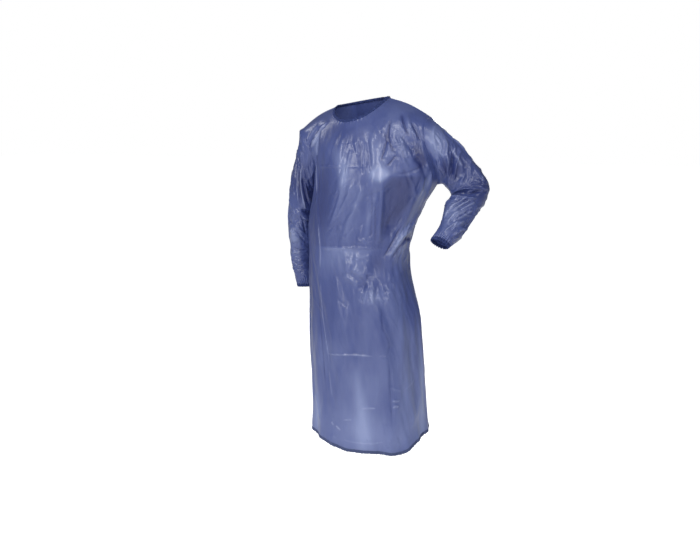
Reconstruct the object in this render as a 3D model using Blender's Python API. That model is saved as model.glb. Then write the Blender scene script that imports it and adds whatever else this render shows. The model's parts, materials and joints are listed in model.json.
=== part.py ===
"""Sleeved chemical apron of thin film, hollow and open, in the shape it has when worn.

Metres, +Z up. The front faces -Y, so +X is the garment's own left side. The origin is the
middle of the shoulders, where the neck opening is carried. Angles are in degrees round the
body: 0 is the centre front, 90 the left side, -90 the right side and 180 the centre back.
"""
import math

import bmesh
import bpy
import numpy as np

# Film, seams and edgings
WALL = 0.0016
SEAM_GAP = 0.0003
EDGING_PROUD = 0.0007
EDGING_FLAT_SHARE = 0.55
EDGING_TIP = 0.0006
NECK_EDGING_WIDTH = 0.0075
CUFF_EDGING_WIDTH = 0.0085
HEM_EDGING_WIDTH = 0.0060

# Cut of the body
SIDE_SEAM = 98.0
ARMPIT_HEIGHT = -0.245
BODY_SQUARENESS = 2.25
BODY_COLUMNS = ("height", "middle", "left_half", "right_half", "front_depth", "back_depth", "turn")
BODY_SECTIONS = (
    (-0.245, 0.018, 0.263, 0.191, 0.137, 0.118, 0.0),
    (-0.310, 0.008, 0.228, 0.195, 0.134, 0.112, 0.0),
    (-0.395, -0.003, 0.202, 0.200, 0.129, 0.105, 0.0),
    (-0.480, -0.011, 0.191, 0.191, 0.125, 0.101, 0.0),
    (-0.540, -0.010, 0.189, 0.189, 0.127, 0.107, 1.0),
    (-0.615, -0.001, 0.196, 0.196, 0.131, 0.118, 2.0),
    (-0.705, 0.013, 0.204, 0.204, 0.136, 0.130, 4.0),
    (-0.840, 0.021, 0.207, 0.207, 0.141, 0.138, 7.0),
    (-0.980, 0.029, 0.205, 0.205, 0.149, 0.143, 10.0),
    (-1.095, 0.036, 0.209, 0.209, 0.158, 0.150, 12.0),
    (-1.190, 0.041, 0.218, 0.218, 0.166, 0.157, 12.0),
)

# Section next to one of the body, for the way that the film runs there
SLOPE_STEP = 0.020

# Hem: lowest across the front, drawn up at both sides
HEM_COLUMNS = ("angle", "height")
HEM = (
    (-180.0, -1.163),
    (-150.0, -1.158),
    (-100.0, -1.146),
    (-66.0, -1.147),
    (-42.0, -1.165),
    (-16.0, -1.185),
    (12.0, -1.187),
    (38.0, -1.190),
    (60.0, -1.158),
    (90.0, -1.138),
    (120.0, -1.140),
    (155.0, -1.158),
    (180.0, -1.163),
)

# Neckline and shoulder seams
NECK_RIGHT = (-0.101, -0.003, 0.022)
NECK_LEFT = (0.102, 0.003, 0.052)
NECK_FRONT_REACH = 0.105
NECK_FRONT_DROP = 0.066
NECK_DROP_POWER = 1.3
NECK_BACK_REACH = 0.078
NECK_BACK_RISE = 0.006
SHOULDER_RIGHT = (-0.240, -0.002, -0.052)
SHOULDER_LEFT = (0.256, 0.009, -0.014)
SHOULDER_CROWN = 0.010
ARMHOLE_REACH = 0.034
ARMHOLE_REACH_POWER = 0.6
ARMHOLE_INSET = 0.020
ARMHOLE_INSET_POWER = 2.0
ARMHOLE_WIDTH_POWER = 3.0

# How the yoke leans where it meets the neckline and the shoulder seams, and how far both hold
LEAN_IN = 0.60
LEAN_FLATTER_AT_NECK = 0.42
LEAN_UP = 0.28
LEAN_UP_AT_NECK = 0.55
ARMPIT_HOLD = 0.80
TOP_HOLD = 1.15

# Back opening: the left panel laps over the right one
LAP_COLUMNS = 3
LAP_OFFSET = 0.0045
LAP_LIFTS = (1.0, 0.72, 0.35)

# Divisions of the cloth
NECK_STEPS = 8
SHOULDER_STEPS = 7
NECK_SHARE = NECK_STEPS / (NECK_STEPS + SHOULDER_STEPS)
YOKE_ROWS = 11
SKIRT_ROWS = 18
WAIST_ROW = 12
SETTLE_ROWS = 4
SETTLE_ROUNDS = 8
SETTLE_SHARE = 0.6
SLEEVE_ROWS = 20

# Sleeves: the outer and the inner edge of each section, and half its depth
SLEEVE_COLUMNS = ("outer_x", "outer_y", "outer_z", "inner_x", "inner_y", "inner_z", "half_depth")
LEFT_SLEEVE = (
    (0.335, 0.035, -0.090, 0.303, 0.016, -0.245, 0.060),
    (0.378, 0.045, -0.142, 0.314, 0.018, -0.256, 0.058),
    (0.426, 0.051, -0.195, 0.326, 0.016, -0.268, 0.055),
    (0.457, 0.047, -0.247, 0.334, 0.009, -0.281, 0.052),
    (0.453, 0.025, -0.292, 0.335, -0.005, -0.294, 0.050),
    (0.439, 0.000, -0.326, 0.327, -0.022, -0.306, 0.048),
    (0.418, -0.039, -0.374, 0.327, -0.048, -0.334, 0.045),
    (0.395, -0.077, -0.421, 0.328, -0.087, -0.373, 0.039),
    (0.370, -0.101, -0.444, 0.317, -0.124, -0.411, 0.031),
)
RIGHT_SLEEVE = (
    (-0.264, 0.004, -0.165, -0.193, 0.012, -0.290, 0.062),
    (-0.282, 0.005, -0.268, -0.197, 0.010, -0.340, 0.060),
    (-0.295, 0.008, -0.365, -0.209, 0.011, -0.400, 0.057),
    (-0.298, 0.010, -0.445, -0.213, 0.011, -0.460, 0.053),
    (-0.290, 0.008, -0.520, -0.213, 0.009, -0.525, 0.047),
    (-0.277, 0.005, -0.585, -0.211, 0.006, -0.583, 0.038),
    (-0.264, 0.002, -0.632, -0.207, 0.003, -0.628, 0.030),
)

# Largest folds: soft ridges where depth is positive, troughs where it is negative.
# Around is in degrees. Along is the height on the body, and the share of the length on a sleeve.
FOLD_COLUMNS = ("from_around", "from_along", "to_around", "to_along", "half_width", "depth")
FOLD_OVERRUN = 0.12
FOLD_FADE = 0.30
FOLD_CLEAR_OF_ARMHOLE = 0.22
FOLD_CLEAR_OF_TOP = 0.25
FOLD_CLEAR_OF_ARMPIT = 0.06
METRES_PER_DEGREE = 0.0034
BODY_FOLDS = (
    (-6.0, -0.060, -20.0, -0.440, 0.022, 0.006),
    (14.0, -0.060, 22.0, -0.400, 0.020, -0.006),
    (45.0, -0.060, 84.0, -0.270, 0.022, -0.012),
    (62.0, -0.130, 96.0, -0.300, 0.018, 0.008),
    (-50.0, -0.050, -84.0, -0.260, 0.020, -0.008),
    (60.0, -0.300, 30.0, -0.560, 0.024, -0.006),
    (95.0, -0.330, 52.0, -0.520, 0.020, 0.007),
    (-84.0, -0.560, -66.0, -1.180, 0.024, 0.007),
    (-40.0, -0.640, -28.0, -1.200, 0.030, -0.006),
    (20.0, -0.480, 34.0, -1.200, 0.024, 0.006),
    (60.0, -0.620, 66.0, -1.200, 0.026, -0.007),
    (86.0, -0.600, 90.0, -1.180, 0.022, 0.008),
    (130.0, -0.300, 172.0, -0.465, 0.026, -0.007),
    (-130.0, -0.300, -172.0, -0.465, 0.026, -0.007),
    (150.0, -0.500, 128.0, -1.180, 0.030, 0.009),
    (-150.0, -0.500, -128.0, -1.180, 0.030, 0.009),
    (176.0, -0.560, 160.0, -1.180, 0.030, -0.007),
    (-176.0, -0.560, -160.0, -1.180, 0.030, -0.007),
)

LEFT_SLEEVE_FOLDS = (
    (150.0, 0.10, 60.0, 0.44, 0.020, -0.006),
    (165.0, 0.48, 60.0, 0.56, 0.014, -0.007),
    (150.0, 0.64, 60.0, 0.84, 0.016, 0.005),
    (-120.0, 0.20, -60.0, 0.60, 0.022, -0.006),
    (20.0, 0.20, 40.0, 0.46, 0.018, 0.005),
)
RIGHT_SLEEVE_FOLDS = (
    (60.0, 0.10, 90.0, 0.44, 0.018, -0.006),
    (30.0, 0.20, 20.0, 0.56, 0.016, 0.005),
    (110.0, 0.48, 60.0, 0.56, 0.016, -0.007),
    (80.0, 0.60, 50.0, 0.90, 0.016, 0.005),
    (-90.0, 0.30, -60.0, 0.80, 0.020, -0.006),
)
SLEEVE_LENGTH = 0.58
SLEEVE_GIRTH = 0.30
SLEEVE_FOLD_CLEAR_OF_ARMHOLE = 0.15
SLEEVE_FOLD_CLEAR_OF_CUFF = 0.12
CUFF_GATHER_DEPTH = 0.0012
CUFF_GATHER_ROWS = 3

# Waist tapes, sewn at the sides of the back and knotted at its centre
TAPE_WIDTH = 0.022
TAPE_THICKNESS = 0.0012
TAPE_CLEARANCE = 0.0005
WAIST_HEIGHT = -0.470
TAPE_START_COLUMN = 3
KNOT_HALF_WIDTH = 0.0150
KNOT_HALF_HEIGHT = 0.0150
KNOT_DEPTH = 0.0100
KNOT_BEVEL = 0.0042
KNOT_BEVEL_STEPS = 3
KNOT_CLEARANCE = 0.0012
TAPE_END_LENGTH = 0.170
TAPE_END_STEPS = 8
TAPE_END_SPLAY = 0.020
TAPE_END_START = 0.0008
TAPE_END_TOP_SHARE = 0.55
TAPE_END_SPREAD = 3.0

SHARP_ANGLE = 50.0

# Finishes: what each material is called after, its colour and its roughness
FILM = ("film", (0.12, 0.15, 0.38), 0.38)
EDGING = ("edging", (0.02, 0.03, 0.14), 0.55)


def clear_scene():
    for item in list(bpy.data.objects):
        bpy.data.objects.remove(item, do_unlink=True)


def make_material(name, finish):
    kind, colour, roughness = finish
    material = bpy.data.materials.new(f"{name}_{kind}")
    material.use_nodes = True
    shader = material.node_tree.nodes["Principled BSDF"]
    shader.inputs["Base Color"].default_value = (*colour, 1.0)
    shader.inputs["Roughness"].default_value = roughness
    shader.inputs["Metallic"].default_value = 0.0
    return material


def unit(vectors):
    length = np.linalg.norm(vectors, axis=-1, keepdims=True)
    return vectors / np.maximum(length, 1e-12)


def ease(share):
    share = np.clip(share, 0.0, 1.0)
    return share * share * (3.0 - 2.0 * share)


def columns_of(names, table):
    """Each named column of a table, as an array."""
    return dict(zip(names, np.array(table, float).T))


def curve_through(knots, values, at):
    """A smooth curve through one row of values at each knot, read at the places given."""
    knots = np.asarray(knots, float)
    values = np.asarray(values, float)
    slopes = np.gradient(values, knots, axis=0)
    at = np.clip(at, knots[0], knots[-1])
    low = np.clip(np.searchsorted(knots, at) - 1, 0, len(knots) - 2)
    span = (knots[low + 1] - knots[low])[..., None]
    share = (at - knots[low])[..., None] / span
    start_weight = 2 * share**3 - 3 * share**2 + 1
    start_slope = share**3 - 2 * share**2 + share
    end_slope = share**3 - share**2
    return (start_weight * values[low] + (1 - start_weight) * values[low + 1]
            + span * (start_slope * slopes[low] + end_slope * slopes[low + 1]))


def body_ring(angle, height):
    """Points of the body's cross-section, from its table."""
    rows = np.array(BODY_SECTIONS)[::-1]
    sizes = curve_through(rows[:, 0], rows, height)
    size = dict(zip(BODY_COLUMNS, np.moveaxis(sizes, -1, 0)))
    side = np.sin(np.radians(angle))
    ahead = np.cos(np.radians(angle))
    power = BODY_SQUARENESS
    reach = (np.abs(side)**power + np.abs(ahead)**power)**(-1.0 / power)
    x = np.where(side > 0, size["left_half"], size["right_half"]) * side * reach
    y = -np.where(ahead > 0, size["front_depth"], size["back_depth"]) * ahead * reach
    turn = np.radians(size["turn"])
    return np.stack([size["middle"] + x * np.cos(turn) - y * np.sin(turn),
                     x * np.sin(turn) + y * np.cos(turn), height + 0.0 * x], axis=-1)


def hem_height(angle):
    """The height of the film's lower edge, all round."""
    hem = columns_of(HEM_COLUMNS, HEM)
    wrapped = (angle + 180.0) % 360.0 - 180.0
    return curve_through(hem["angle"], hem["height"][:, None], wrapped)[..., 0]


def seam_share(angle, is_back):
    """-1 at the right side seam, 0 at the centre of the front or the back, 1 at the left one."""
    wrapped = (angle + 180.0) % 360.0 - 180.0
    across = np.abs(wrapped)
    share = (180.0 - across) / (180.0 - SIDE_SEAM) if is_back else across / SIDE_SEAM
    return share * np.where(wrapped < 0, -1.0, 1.0)


def top_edge(share, is_back):
    """The neckline and the shoulder seams, with the way that the film runs as it meets them."""
    neck_right, neck_left = np.array(NECK_RIGHT), np.array(NECK_LEFT)
    along = np.clip(share / NECK_SHARE, -1.0, 1.0)
    side = np.sin(np.radians(90.0 * along))[..., None]
    ahead = np.cos(np.radians(90.0 * along))
    neck = 0.5 * (neck_right + neck_left) + 0.5 * (neck_left - neck_right) * side
    neck[..., 1] += (NECK_BACK_REACH if is_back else -NECK_FRONT_REACH) * ahead
    neck[..., 2] += (NECK_BACK_RISE if is_back else -NECK_FRONT_DROP) * ahead**NECK_DROP_POWER
    down_seam = np.clip((np.abs(share) - NECK_SHARE) / (1.0 - NECK_SHARE), 0.0, 1.0)[..., None]
    is_left = (share > 0)[..., None]
    corner = np.where(is_left, neck_left, neck_right)
    tip = np.where(is_left, np.array(SHOULDER_LEFT), np.array(SHOULDER_RIGHT))
    seam = corner + (tip - corner) * down_seam
    seam[..., 2] += SHOULDER_CROWN * np.sin(np.pi * down_seam[..., 0])
    point = np.where(down_seam > 0.0, seam, neck)
    over = -1.0 if is_back else 1.0
    inward = -LEAN_IN * side[..., 0] * (1.0 - down_seam[..., 0])
    level = (1.0 - LEAN_FLATTER_AT_NECK * ahead) * over
    lean = np.stack([inward, level, LEAN_UP + LEAN_UP_AT_NECK * ahead], axis=-1)
    return point, unit(lean)


def row_height(angle, level):
    """Height of a row below the armpits: evenly spread, but level along the waist tapes."""
    hem = hem_height(angle)
    tape_low, tape_high = WAIST_HEIGHT - TAPE_WIDTH / 2, WAIST_HEIGHT + TAPE_WIDTH / 2
    low, high = WAIST_ROW / SKIRT_ROWS, (WAIST_ROW + 1) / SKIRT_ROWS
    below = hem + (tape_low - hem) * level / low
    above = tape_high + (ARMPIT_HEIGHT - tape_high) * (level - high) / (1.0 - high)
    between = tape_low + (tape_high - tape_low) * (level - low) / (high - low)
    return np.where(level < low, below, np.where(level > high, above, between))


def body_film(angle, level, is_back):
    """The outer face of the body film: level 0 is the hem, 1 the armpits, 2 the top edge."""
    low = body_ring(angle, row_height(angle, np.clip(level, 0.0, 1.0)))
    share = seam_share(angle, is_back)
    rise = np.clip(level - 1.0, 0.0, 1.0)[..., None]
    top, lean = top_edge(share, is_back)
    base = body_ring(angle, ARMPIT_HEIGHT + 0.0 * angle)
    slope = (base - body_ring(angle, ARMPIT_HEIGHT - SLOPE_STEP + 0.0 * angle)) / SLOPE_STEP
    span = np.linalg.norm(top - base, axis=-1, keepdims=True)
    start_weight = 2 * rise**3 - 3 * rise**2 + 1
    yoke = (start_weight * base + (1 - start_weight) * top
            + (rise**3 - 2 * rise**2 + rise) * slope * span * ARMPIT_HOLD
            + (rise**3 - rise**2) * lean * span * TOP_HOLD)
    swell = np.sin(np.pi * rise[..., 0])
    by_edge = np.abs(share)**ARMHOLE_WIDTH_POWER
    inset = ARMHOLE_INSET * swell**ARMHOLE_INSET_POWER * by_edge
    reach = ARMHOLE_REACH * swell**ARMHOLE_REACH_POWER * by_edge
    yoke[..., 0] -= np.sign(share) * inset
    yoke[..., 1] += reach if is_back else -reach
    point = np.where(rise > 0, yoke, low)
    return point + outward(angle) * fold_depth(angle, point[..., 2], level, share)[..., None]


def outward(angle):
    return np.stack([np.sin(np.radians(angle)), -np.cos(np.radians(angle)), 0.0 * angle], axis=-1)


def crease(around, along, table, metres_around, metres_along):
    """Sum of the soft ridges and troughs of one table, each along a straight line."""
    total = np.zeros(np.broadcast(around, along).shape)
    for row in table:
        fold = dict(zip(FOLD_COLUMNS, row))
        run_x = (fold["to_around"] - fold["from_around"]) * metres_around
        run_y = (fold["to_along"] - fold["from_along"]) * metres_along
        length = math.hypot(run_x, run_y)
        for turn in (-360.0, 0.0, 360.0):
            offset_x = (around - fold["from_around"] - turn) * metres_around
            offset_y = (along - fold["from_along"]) * metres_along
            share = (offset_x * run_x + offset_y * run_y) / length**2
            away = (offset_x * run_y - offset_y * run_x) / length
            fade_in = ease((share + FOLD_OVERRUN) / FOLD_FADE)
            fade_out = ease((1.0 + FOLD_OVERRUN - share) / FOLD_FADE)
            ridge = np.exp(-(away / fold["half_width"])**2)
            total += fold["depth"] * ridge * fade_in * fade_out
    return total


def fold_depth(angle, height, level, share):
    """How far the film stands out of its plain shape, which is nothing along the yoke's seams."""
    depth = crease(angle, height, BODY_FOLDS, METRES_PER_DEGREE, 1.0)
    in_yoke = np.clip(level - 1.0, 0.0, 1.0)
    by_armhole = ease((1.0 - np.abs(share)) / FOLD_CLEAR_OF_ARMHOLE)
    by_top = ease((1.0 - in_yoke) / FOLD_CLEAR_OF_TOP)
    near_armpit = ease((1.0 - np.clip(level, 0.0, 1.0)) / FOLD_CLEAR_OF_ARMPIT)
    keep = np.where(level > 1.0, by_armhole * by_top, np.maximum(by_armhole, near_armpit))
    return depth * keep


class Sheet:
    """One cut of film: a grid of points on its outer face, and the way out at each of them."""

    def __init__(self, name, points, closed=False):
        self.name = name
        self.points = points
        self.closed = closed
        self.normals = self.way_out()

    def way_out(self):
        points = self.points
        up = np.gradient(points, axis=0)
        if self.closed:
            along = np.roll(points, -1, axis=1) - np.roll(points, 1, axis=1)
        else:
            along = np.gradient(points, axis=1)
        normals = unit(np.cross(along, up))
        middle = points.mean(axis=1, keepdims=True) if self.closed else np.array([0.0, 0.0, 1.0])
        flat = np.array([1.0, 1.0, 1.0 if self.closed else 0.0])
        facing = np.sum(normals * (points - middle) * flat)
        return normals if facing > 0 else -normals

    def border(self):
        """Each border point as row, column and the ways straight into the cloth from there."""
        rows, columns = self.points.shape[:2]
        for row in range(rows):
            for column in range(columns):
                ways = []
                if row in (0, rows - 1):
                    ways.append(self.way_in(row, column, (1 if row == 0 else rows - 2, column), (0, 1)))
                if not self.closed and column in (0, columns - 1):
                    ways.append(self.way_in(row, column, (row, 1 if column == 0 else columns - 2), (1, 0)))
                if ways:
                    yield row, column, ways

    def way_in(self, row, column, inner, step):
        """Square to the border and to the thickness, on the side of the inner neighbour."""
        rows, columns = self.points.shape[:2]
        ends = []
        for sign in (-1, 1):
            place_row, place_column = row + sign * step[0], column + sign * step[1]
            if self.closed:
                place_column %= columns
            place_row = min(max(place_row, 0), rows - 1)
            place_column = min(max(place_column, 0), columns - 1)
            ends.append(self.points[place_row, place_column])
        way = unit(np.cross(ends[1] - ends[0], self.normals[row, column]))
        return way * np.sign(np.dot(way, self.points[inner] - self.points[row, column]))


def meet_at_seams(sheets):
    """Gives the cuts that meet one shared way out there, so that their edges stay parallel."""
    shared = {}
    for sheet in sheets:
        for row, column, _ in sheet.border():
            key = tuple(np.round(sheet.points[row, column], 5))
            shared.setdefault(key, []).append((sheet, row, column))
    for places in shared.values():
        body, sleeve = np.zeros(3), np.zeros(3)
        for sheet, row, column in places:
            (sleeve if sheet.closed else body)[:] += sheet.normals[row, column]
        mean = unit(unit(body) + unit(sleeve))
        for sheet, row, column in places:
            sheet.normals[row, column] = mean


def part_at_seams(sheets):
    """Draws each cut's border in by half of the seam gap, square to its thickness."""
    for sheet in sheets:
        moved = sheet.points.copy()
        for row, column, ways in sheet.border():
            moved[row, column] += sum(ways) * SEAM_GAP / 2
        sheet.points = moved


def settle(points):
    """Evens out the yoke between its edges, as film does that is held only at its seams."""
    rows = np.arange(1, len(points) - 1)
    share = SETTLE_SHARE * ease((rows - SKIRT_ROWS + SETTLE_ROWS) / SETTLE_ROWS)[:, None, None]
    for _ in range(SETTLE_ROUNDS):
        middle = (points[:-2, 1:-1] + points[2:, 1:-1] + points[1:-1, :-2] + points[1:-1, 2:]) / 4
        points[1:-1, 1:-1] += share * (middle - points[1:-1, 1:-1])
    return points


def body_sheets():
    front_steps = NECK_STEPS + SHOULDER_STEPS
    levels = np.concatenate([np.linspace(0.0, 1.0, SKIRT_ROWS + 1)[:-1],
                             1.0 + np.linspace(0.0, 1.0, YOKE_ROWS + 1)])
    front_angles = np.linspace(-SIDE_SEAM, SIDE_SEAM, 2 * front_steps + 1)
    back_angles = np.linspace(SIDE_SEAM, 360.0 - SIDE_SEAM, 2 * front_steps + 1)
    front = settle(body_film(*np.meshgrid(front_angles, levels), False))
    back = settle(body_film(*np.meshgrid(back_angles, levels), True))
    left = back[:, :front_steps + LAP_COLUMNS + 1].copy()
    right = back[:, front_steps - LAP_COLUMNS:]
    lap = (np.arange(left.shape[1]) - NECK_STEPS) / (front_steps - LAP_COLUMNS - 1 - NECK_STEPS)
    left += outward(back_angles[:left.shape[1]]) * LAP_OFFSET * ease(lap)[:, None]
    return (Sheet("front_panel", front), Sheet("back_panel_left", left),
            Sheet("back_panel_right", right))


def sleeve_sheet(name, front, back, table, side, folds):
    """A sleeve from the armhole's own points, through the table's sections, to the cuff."""
    yoke = slice(SKIRT_ROWS, SKIRT_ROWS + YOKE_ROWS + 1)
    front_edge = front.points[yoke, -1 if side > 0 else 0]
    back_edge = back.points[yoke, 0 if side > 0 else -1]
    armhole = np.concatenate([front_edge, back_edge[-2:0:-1]])
    around = 180.0 - 180.0 * np.arange(2 * YOKE_ROWS) / YOKE_ROWS
    section = columns_of(SLEEVE_COLUMNS, table)
    outer = np.stack([section["outer_x"], section["outer_y"], section["outer_z"]], axis=-1)
    inner = np.stack([section["inner_x"], section["inner_y"], section["inner_z"]], axis=-1)
    half_depth = section["half_depth"]
    centre = (outer + inner) / 2
    run = np.gradient(np.vstack([armhole.mean(axis=0), centre]), axis=0)[1:]
    forward = unit(np.cross(run, outer - inner))
    forward = forward * -np.sign(forward[0, 1])
    cosine = np.cos(np.radians(around))[None, :, None]
    sine = np.sin(np.radians(around))[None, :, None]
    rings = (centre[:, None] + (outer - inner)[:, None] / 2 * cosine
             + (forward * half_depth[:, None])[:, None] * sine)
    rings = np.concatenate([armhole[None], rings])
    spans = np.linalg.norm(np.diff(rings, axis=0), axis=-1).mean(axis=1)
    knots = np.concatenate([[0.0], np.cumsum(spans)])
    along = np.linspace(0.0, knots[-1], SLEEVE_ROWS + 1)
    points = curve_through(knots, rings.reshape(len(rings), -1), along)
    points = points.reshape(SLEEVE_ROWS + 1, 2 * YOKE_ROWS, 3)
    sheet = Sheet(name, points, closed=True)
    share = (along / knots[-1])[:, None]
    depth = crease(around[None], share, folds, SLEEVE_GIRTH / 360.0, SLEEVE_LENGTH)
    depth *= ease(share / SLEEVE_FOLD_CLEAR_OF_ARMHOLE) * ease((1.0 - share) / SLEEVE_FOLD_CLEAR_OF_CUFF)
    rows_left = SLEEVE_ROWS - np.arange(SLEEVE_ROWS + 1)
    gather = np.clip(1.0 - rows_left / CUFF_GATHER_ROWS, 0.0, 1.0)[:, None]
    depth = depth + gather * CUFF_GATHER_DEPTH * np.where(np.arange(2 * YOKE_ROWS) % 2, 1.0, -1.0)
    sheet.points = sheet.points + sheet.normals * depth[..., None]
    sheet.normals = sheet.way_out()
    return sheet


def solid_object(name, points, faces, finish):
    mesh = bpy.data.meshes.new(name)
    mesh.from_pydata([tuple(point) for point in points], [], faces)
    shape = bmesh.new()
    shape.from_mesh(mesh)
    bmesh.ops.recalc_face_normals(shape, faces=shape.faces)
    return finished_object(name, mesh, shape, finish)


def finished_object(name, mesh, shape, finish):
    shape.to_mesh(mesh)
    shape.free()
    mesh.shade_smooth()
    mesh.set_sharp_from_angle(angle=math.radians(SHARP_ANGLE))
    mesh.materials.append(make_material(name, finish))
    item = bpy.data.objects.new(name, mesh)
    bpy.context.collection.objects.link(item)
    return item


def halves(points, corners):
    """The two triangles of a four-sided face, cut along its shorter diagonal."""
    first, second, third, fourth = corners
    if np.linalg.norm(points[first] - points[third]) <= np.linalg.norm(points[second] - points[fourth]):
        return [first, second, third], [first, third, fourth]
    return [first, second, fourth], [second, third, fourth]


def film_solid(sheet):
    """The wall of one cut: its outer face, its inner face and the rim between them."""
    rows, columns = sheet.points.shape[:2]
    outer = sheet.points.reshape(-1, 3)
    inner = (sheet.points - WALL * sheet.normals).reshape(-1, 3)
    points = np.vstack([outer, inner])
    count = rows * columns
    faces = []
    for row in range(rows - 1):
        for column in range(columns if sheet.closed else columns - 1):
            after = (column + 1) % columns
            corners = [row * columns + column, row * columns + after,
                       (row + 1) * columns + after, (row + 1) * columns + column]
            for triangle in halves(outer, corners):
                faces.append(triangle)
                faces.append([count + corner for corner in reversed(triangle)])
    rims = []
    for row in (0, rows - 1):
        rim = [row * columns + column for column in range(columns)]
        rims.append(rim + rim[:1] if sheet.closed else rim)
    if not sheet.closed:
        for column in (0, columns - 1):
            rims.append([row * columns + column for row in range(rows)])
    for rim in rims:
        for first, second in zip(rim[:-1], rim[1:]):
            faces.extend(halves(points, [first, second, count + second, count + first]))
    return solid_object(sheet.name, points, faces, FILM)


def edging_solid(name, edge, beyond, out, width, closed):
    """A narrow rounded edging that carries on from an edge of the film, as one strip."""
    low, high = -WALL - EDGING_PROUD, EDGING_PROUD
    middle, flat = -WALL / 2, EDGING_FLAT_SHARE * width
    profile = ((SEAM_GAP, low), (SEAM_GAP, high), (flat, high),
               (width, middle + EDGING_TIP), (width, middle - EDGING_TIP), (flat, low))
    rings = np.stack([edge + beyond * reach + out * side for reach, side in profile], axis=1)
    count, sides = rings.shape[:2]
    points = rings.reshape(-1, 3)
    faces = []
    for ring in range(count if closed else count - 1):
        after = (ring + 1) % count
        for corner in range(sides):
            turn = (corner + 1) % sides
            faces.extend(halves(points, [ring * sides + corner, ring * sides + turn,
                                         after * sides + turn, after * sides + corner]))
    if not closed:
        faces.append(list(range(sides)))
        faces.append([(count - 1) * sides + corner for corner in range(sides)])
    return solid_object(name, points, faces, EDGING)


def edge_strip(parts, closed=False):
    """Joins stretches of border rows: the points, the way beyond the edge and the way out."""
    edge, ahead, out = [], [], []
    for sheet, row, inner_row, columns in parts:
        for column in columns:
            point = sheet.points[row, column]
            if edge and np.linalg.norm(point - edge[-1]) < 0.001:
                continue
            edge.append(point)
            ahead.append(point - sheet.points[inner_row, column])
            out.append(sheet.normals[row, column])
    edge, ahead, out = np.array(edge), np.array(ahead), np.array(out)
    run = np.roll(edge, -1, axis=0) - np.roll(edge, 1, axis=0) if closed else np.gradient(edge, axis=0)
    beyond = unit(np.cross(run, out))
    return edge, beyond * np.sign(np.sum(beyond * ahead)), out


def make_edgings(front, left, right, sleeves):
    full = 2 * (NECK_STEPS + SHOULDER_STEPS) + 1
    neck_front = range(SHOULDER_STEPS, full - SHOULDER_STEPS)
    neck_left = range(SHOULDER_STEPS, left.points.shape[1])
    neck_right = range(0, right.points.shape[1] - SHOULDER_STEPS)
    neck = edge_strip(((right, -1, -2, neck_right), (front, -1, -2, neck_front),
                       (left, -1, -2, neck_left)))
    edging_solid("neck_edging", *neck, NECK_EDGING_WIDTH, False)
    hem = edge_strip(((right, 0, 1, range(right.points.shape[1])), (front, 0, 1, range(full)),
                      (left, 0, 1, range(left.points.shape[1]))))
    edging_solid("hem_edging", *hem, HEM_EDGING_WIDTH, False)
    for name, sleeve in sleeves:
        cuff = edge_strip(((sleeve, -1, -2, range(sleeve.points.shape[1])),), closed=True)
        edging_solid(name, *cuff, CUFF_EDGING_WIDTH, True)


def place_on(sheet, column, height):
    """A point of a back panel and its way out, between the grid's columns and rows."""
    first = min(int(column), sheet.points.shape[1] - 2)
    share = column - first
    points = sheet.points[:, first] * (1 - share) + sheet.points[:, first + 1] * share
    normals = sheet.normals[:, first] * (1 - share) + sheet.normals[:, first + 1] * share
    row = int(np.searchsorted(points[:SKIRT_ROWS, 2], height)) - 1
    rise = (height - points[row, 2]) / (points[row + 1, 2] - points[row, 2])
    point = points[row] * (1 - rise) + points[row + 1] * rise
    return point, unit(normals[row] * (1 - rise) + normals[row + 1] * rise)


def tape_solid(name, lower, upper, out):
    """A flat tape between two edges, its near face just clear of what it lies on."""
    near_low, near_high = lower + out * TAPE_CLEARANCE, upper + out * TAPE_CLEARANCE
    lift = out * TAPE_THICKNESS
    grid = np.stack([near_low, near_high, near_high + lift, near_low + lift], axis=1)
    count = len(grid)
    faces = []
    for ring in range(count - 1):
        for corner in range(4):
            turn = (corner + 1) % 4
            faces.append([ring * 4 + corner, ring * 4 + turn, ring * 4 + 4 + turn, ring * 4 + 4 + corner])
    faces.append([0, 1, 2, 3])
    faces.append([4 * count - 4 + corner for corner in range(4)])
    return solid_object(name, grid.reshape(-1, 3), faces, FILM)


def waist_tape(name, stretches):
    lower, upper, out = [], [], []
    for sheet, column, lift in stretches:
        low, low_out = place_on(sheet, column, WAIST_HEIGHT - TAPE_WIDTH / 2)
        high, high_out = place_on(sheet, column, WAIST_HEIGHT + TAPE_WIDTH / 2)
        normal = unit(low_out + high_out)
        lower.append(low + normal * lift)
        upper.append(high + normal * lift)
        out.append(normal)
    return tape_solid(name, np.array(lower), np.array(upper), np.array(out))


def make_tapes(left, right):
    """Both waist tapes, the flat knot where they meet and its two hanging ends."""
    centre = NECK_STEPS + SHOULDER_STEPS
    last = centre + LAP_COLUMNS
    middle, out = place_on(left, centre, WAIST_HEIGHT)
    beside, _ = place_on(left, centre + 1, WAIST_HEIGHT)
    knot_columns = (KNOT_HALF_WIDTH + KNOT_CLEARANCE) / np.linalg.norm(beside - middle)
    left_run = [(left, column, 0.0) for column in range(TAPE_START_COLUMN, centre)]
    left_run.append((left, centre - knot_columns, 0.0))
    waist_tape("tie_left", left_run)
    right_run = []
    for column in range(TAPE_START_COLUMN, centre - LAP_COLUMNS):
        to_lap = centre - LAP_COLUMNS - column
        lift = LAP_LIFTS[to_lap - 1] if to_lap <= len(LAP_LIFTS) else 0.0
        right_run.append((right, last - column, LAP_OFFSET * lift))
    right_run += [(left, column, 0.0) for column in range(last, centre, -1)]
    right_run.append((left, centre + knot_columns, 0.0))
    waist_tape("tie_right", right_run)
    make_knot(middle, out)
    for name, side in (("tie_end_left", -1.0), ("tie_end_right", 1.0)):
        tape_end(name, left, centre, knot_columns, side)


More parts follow.
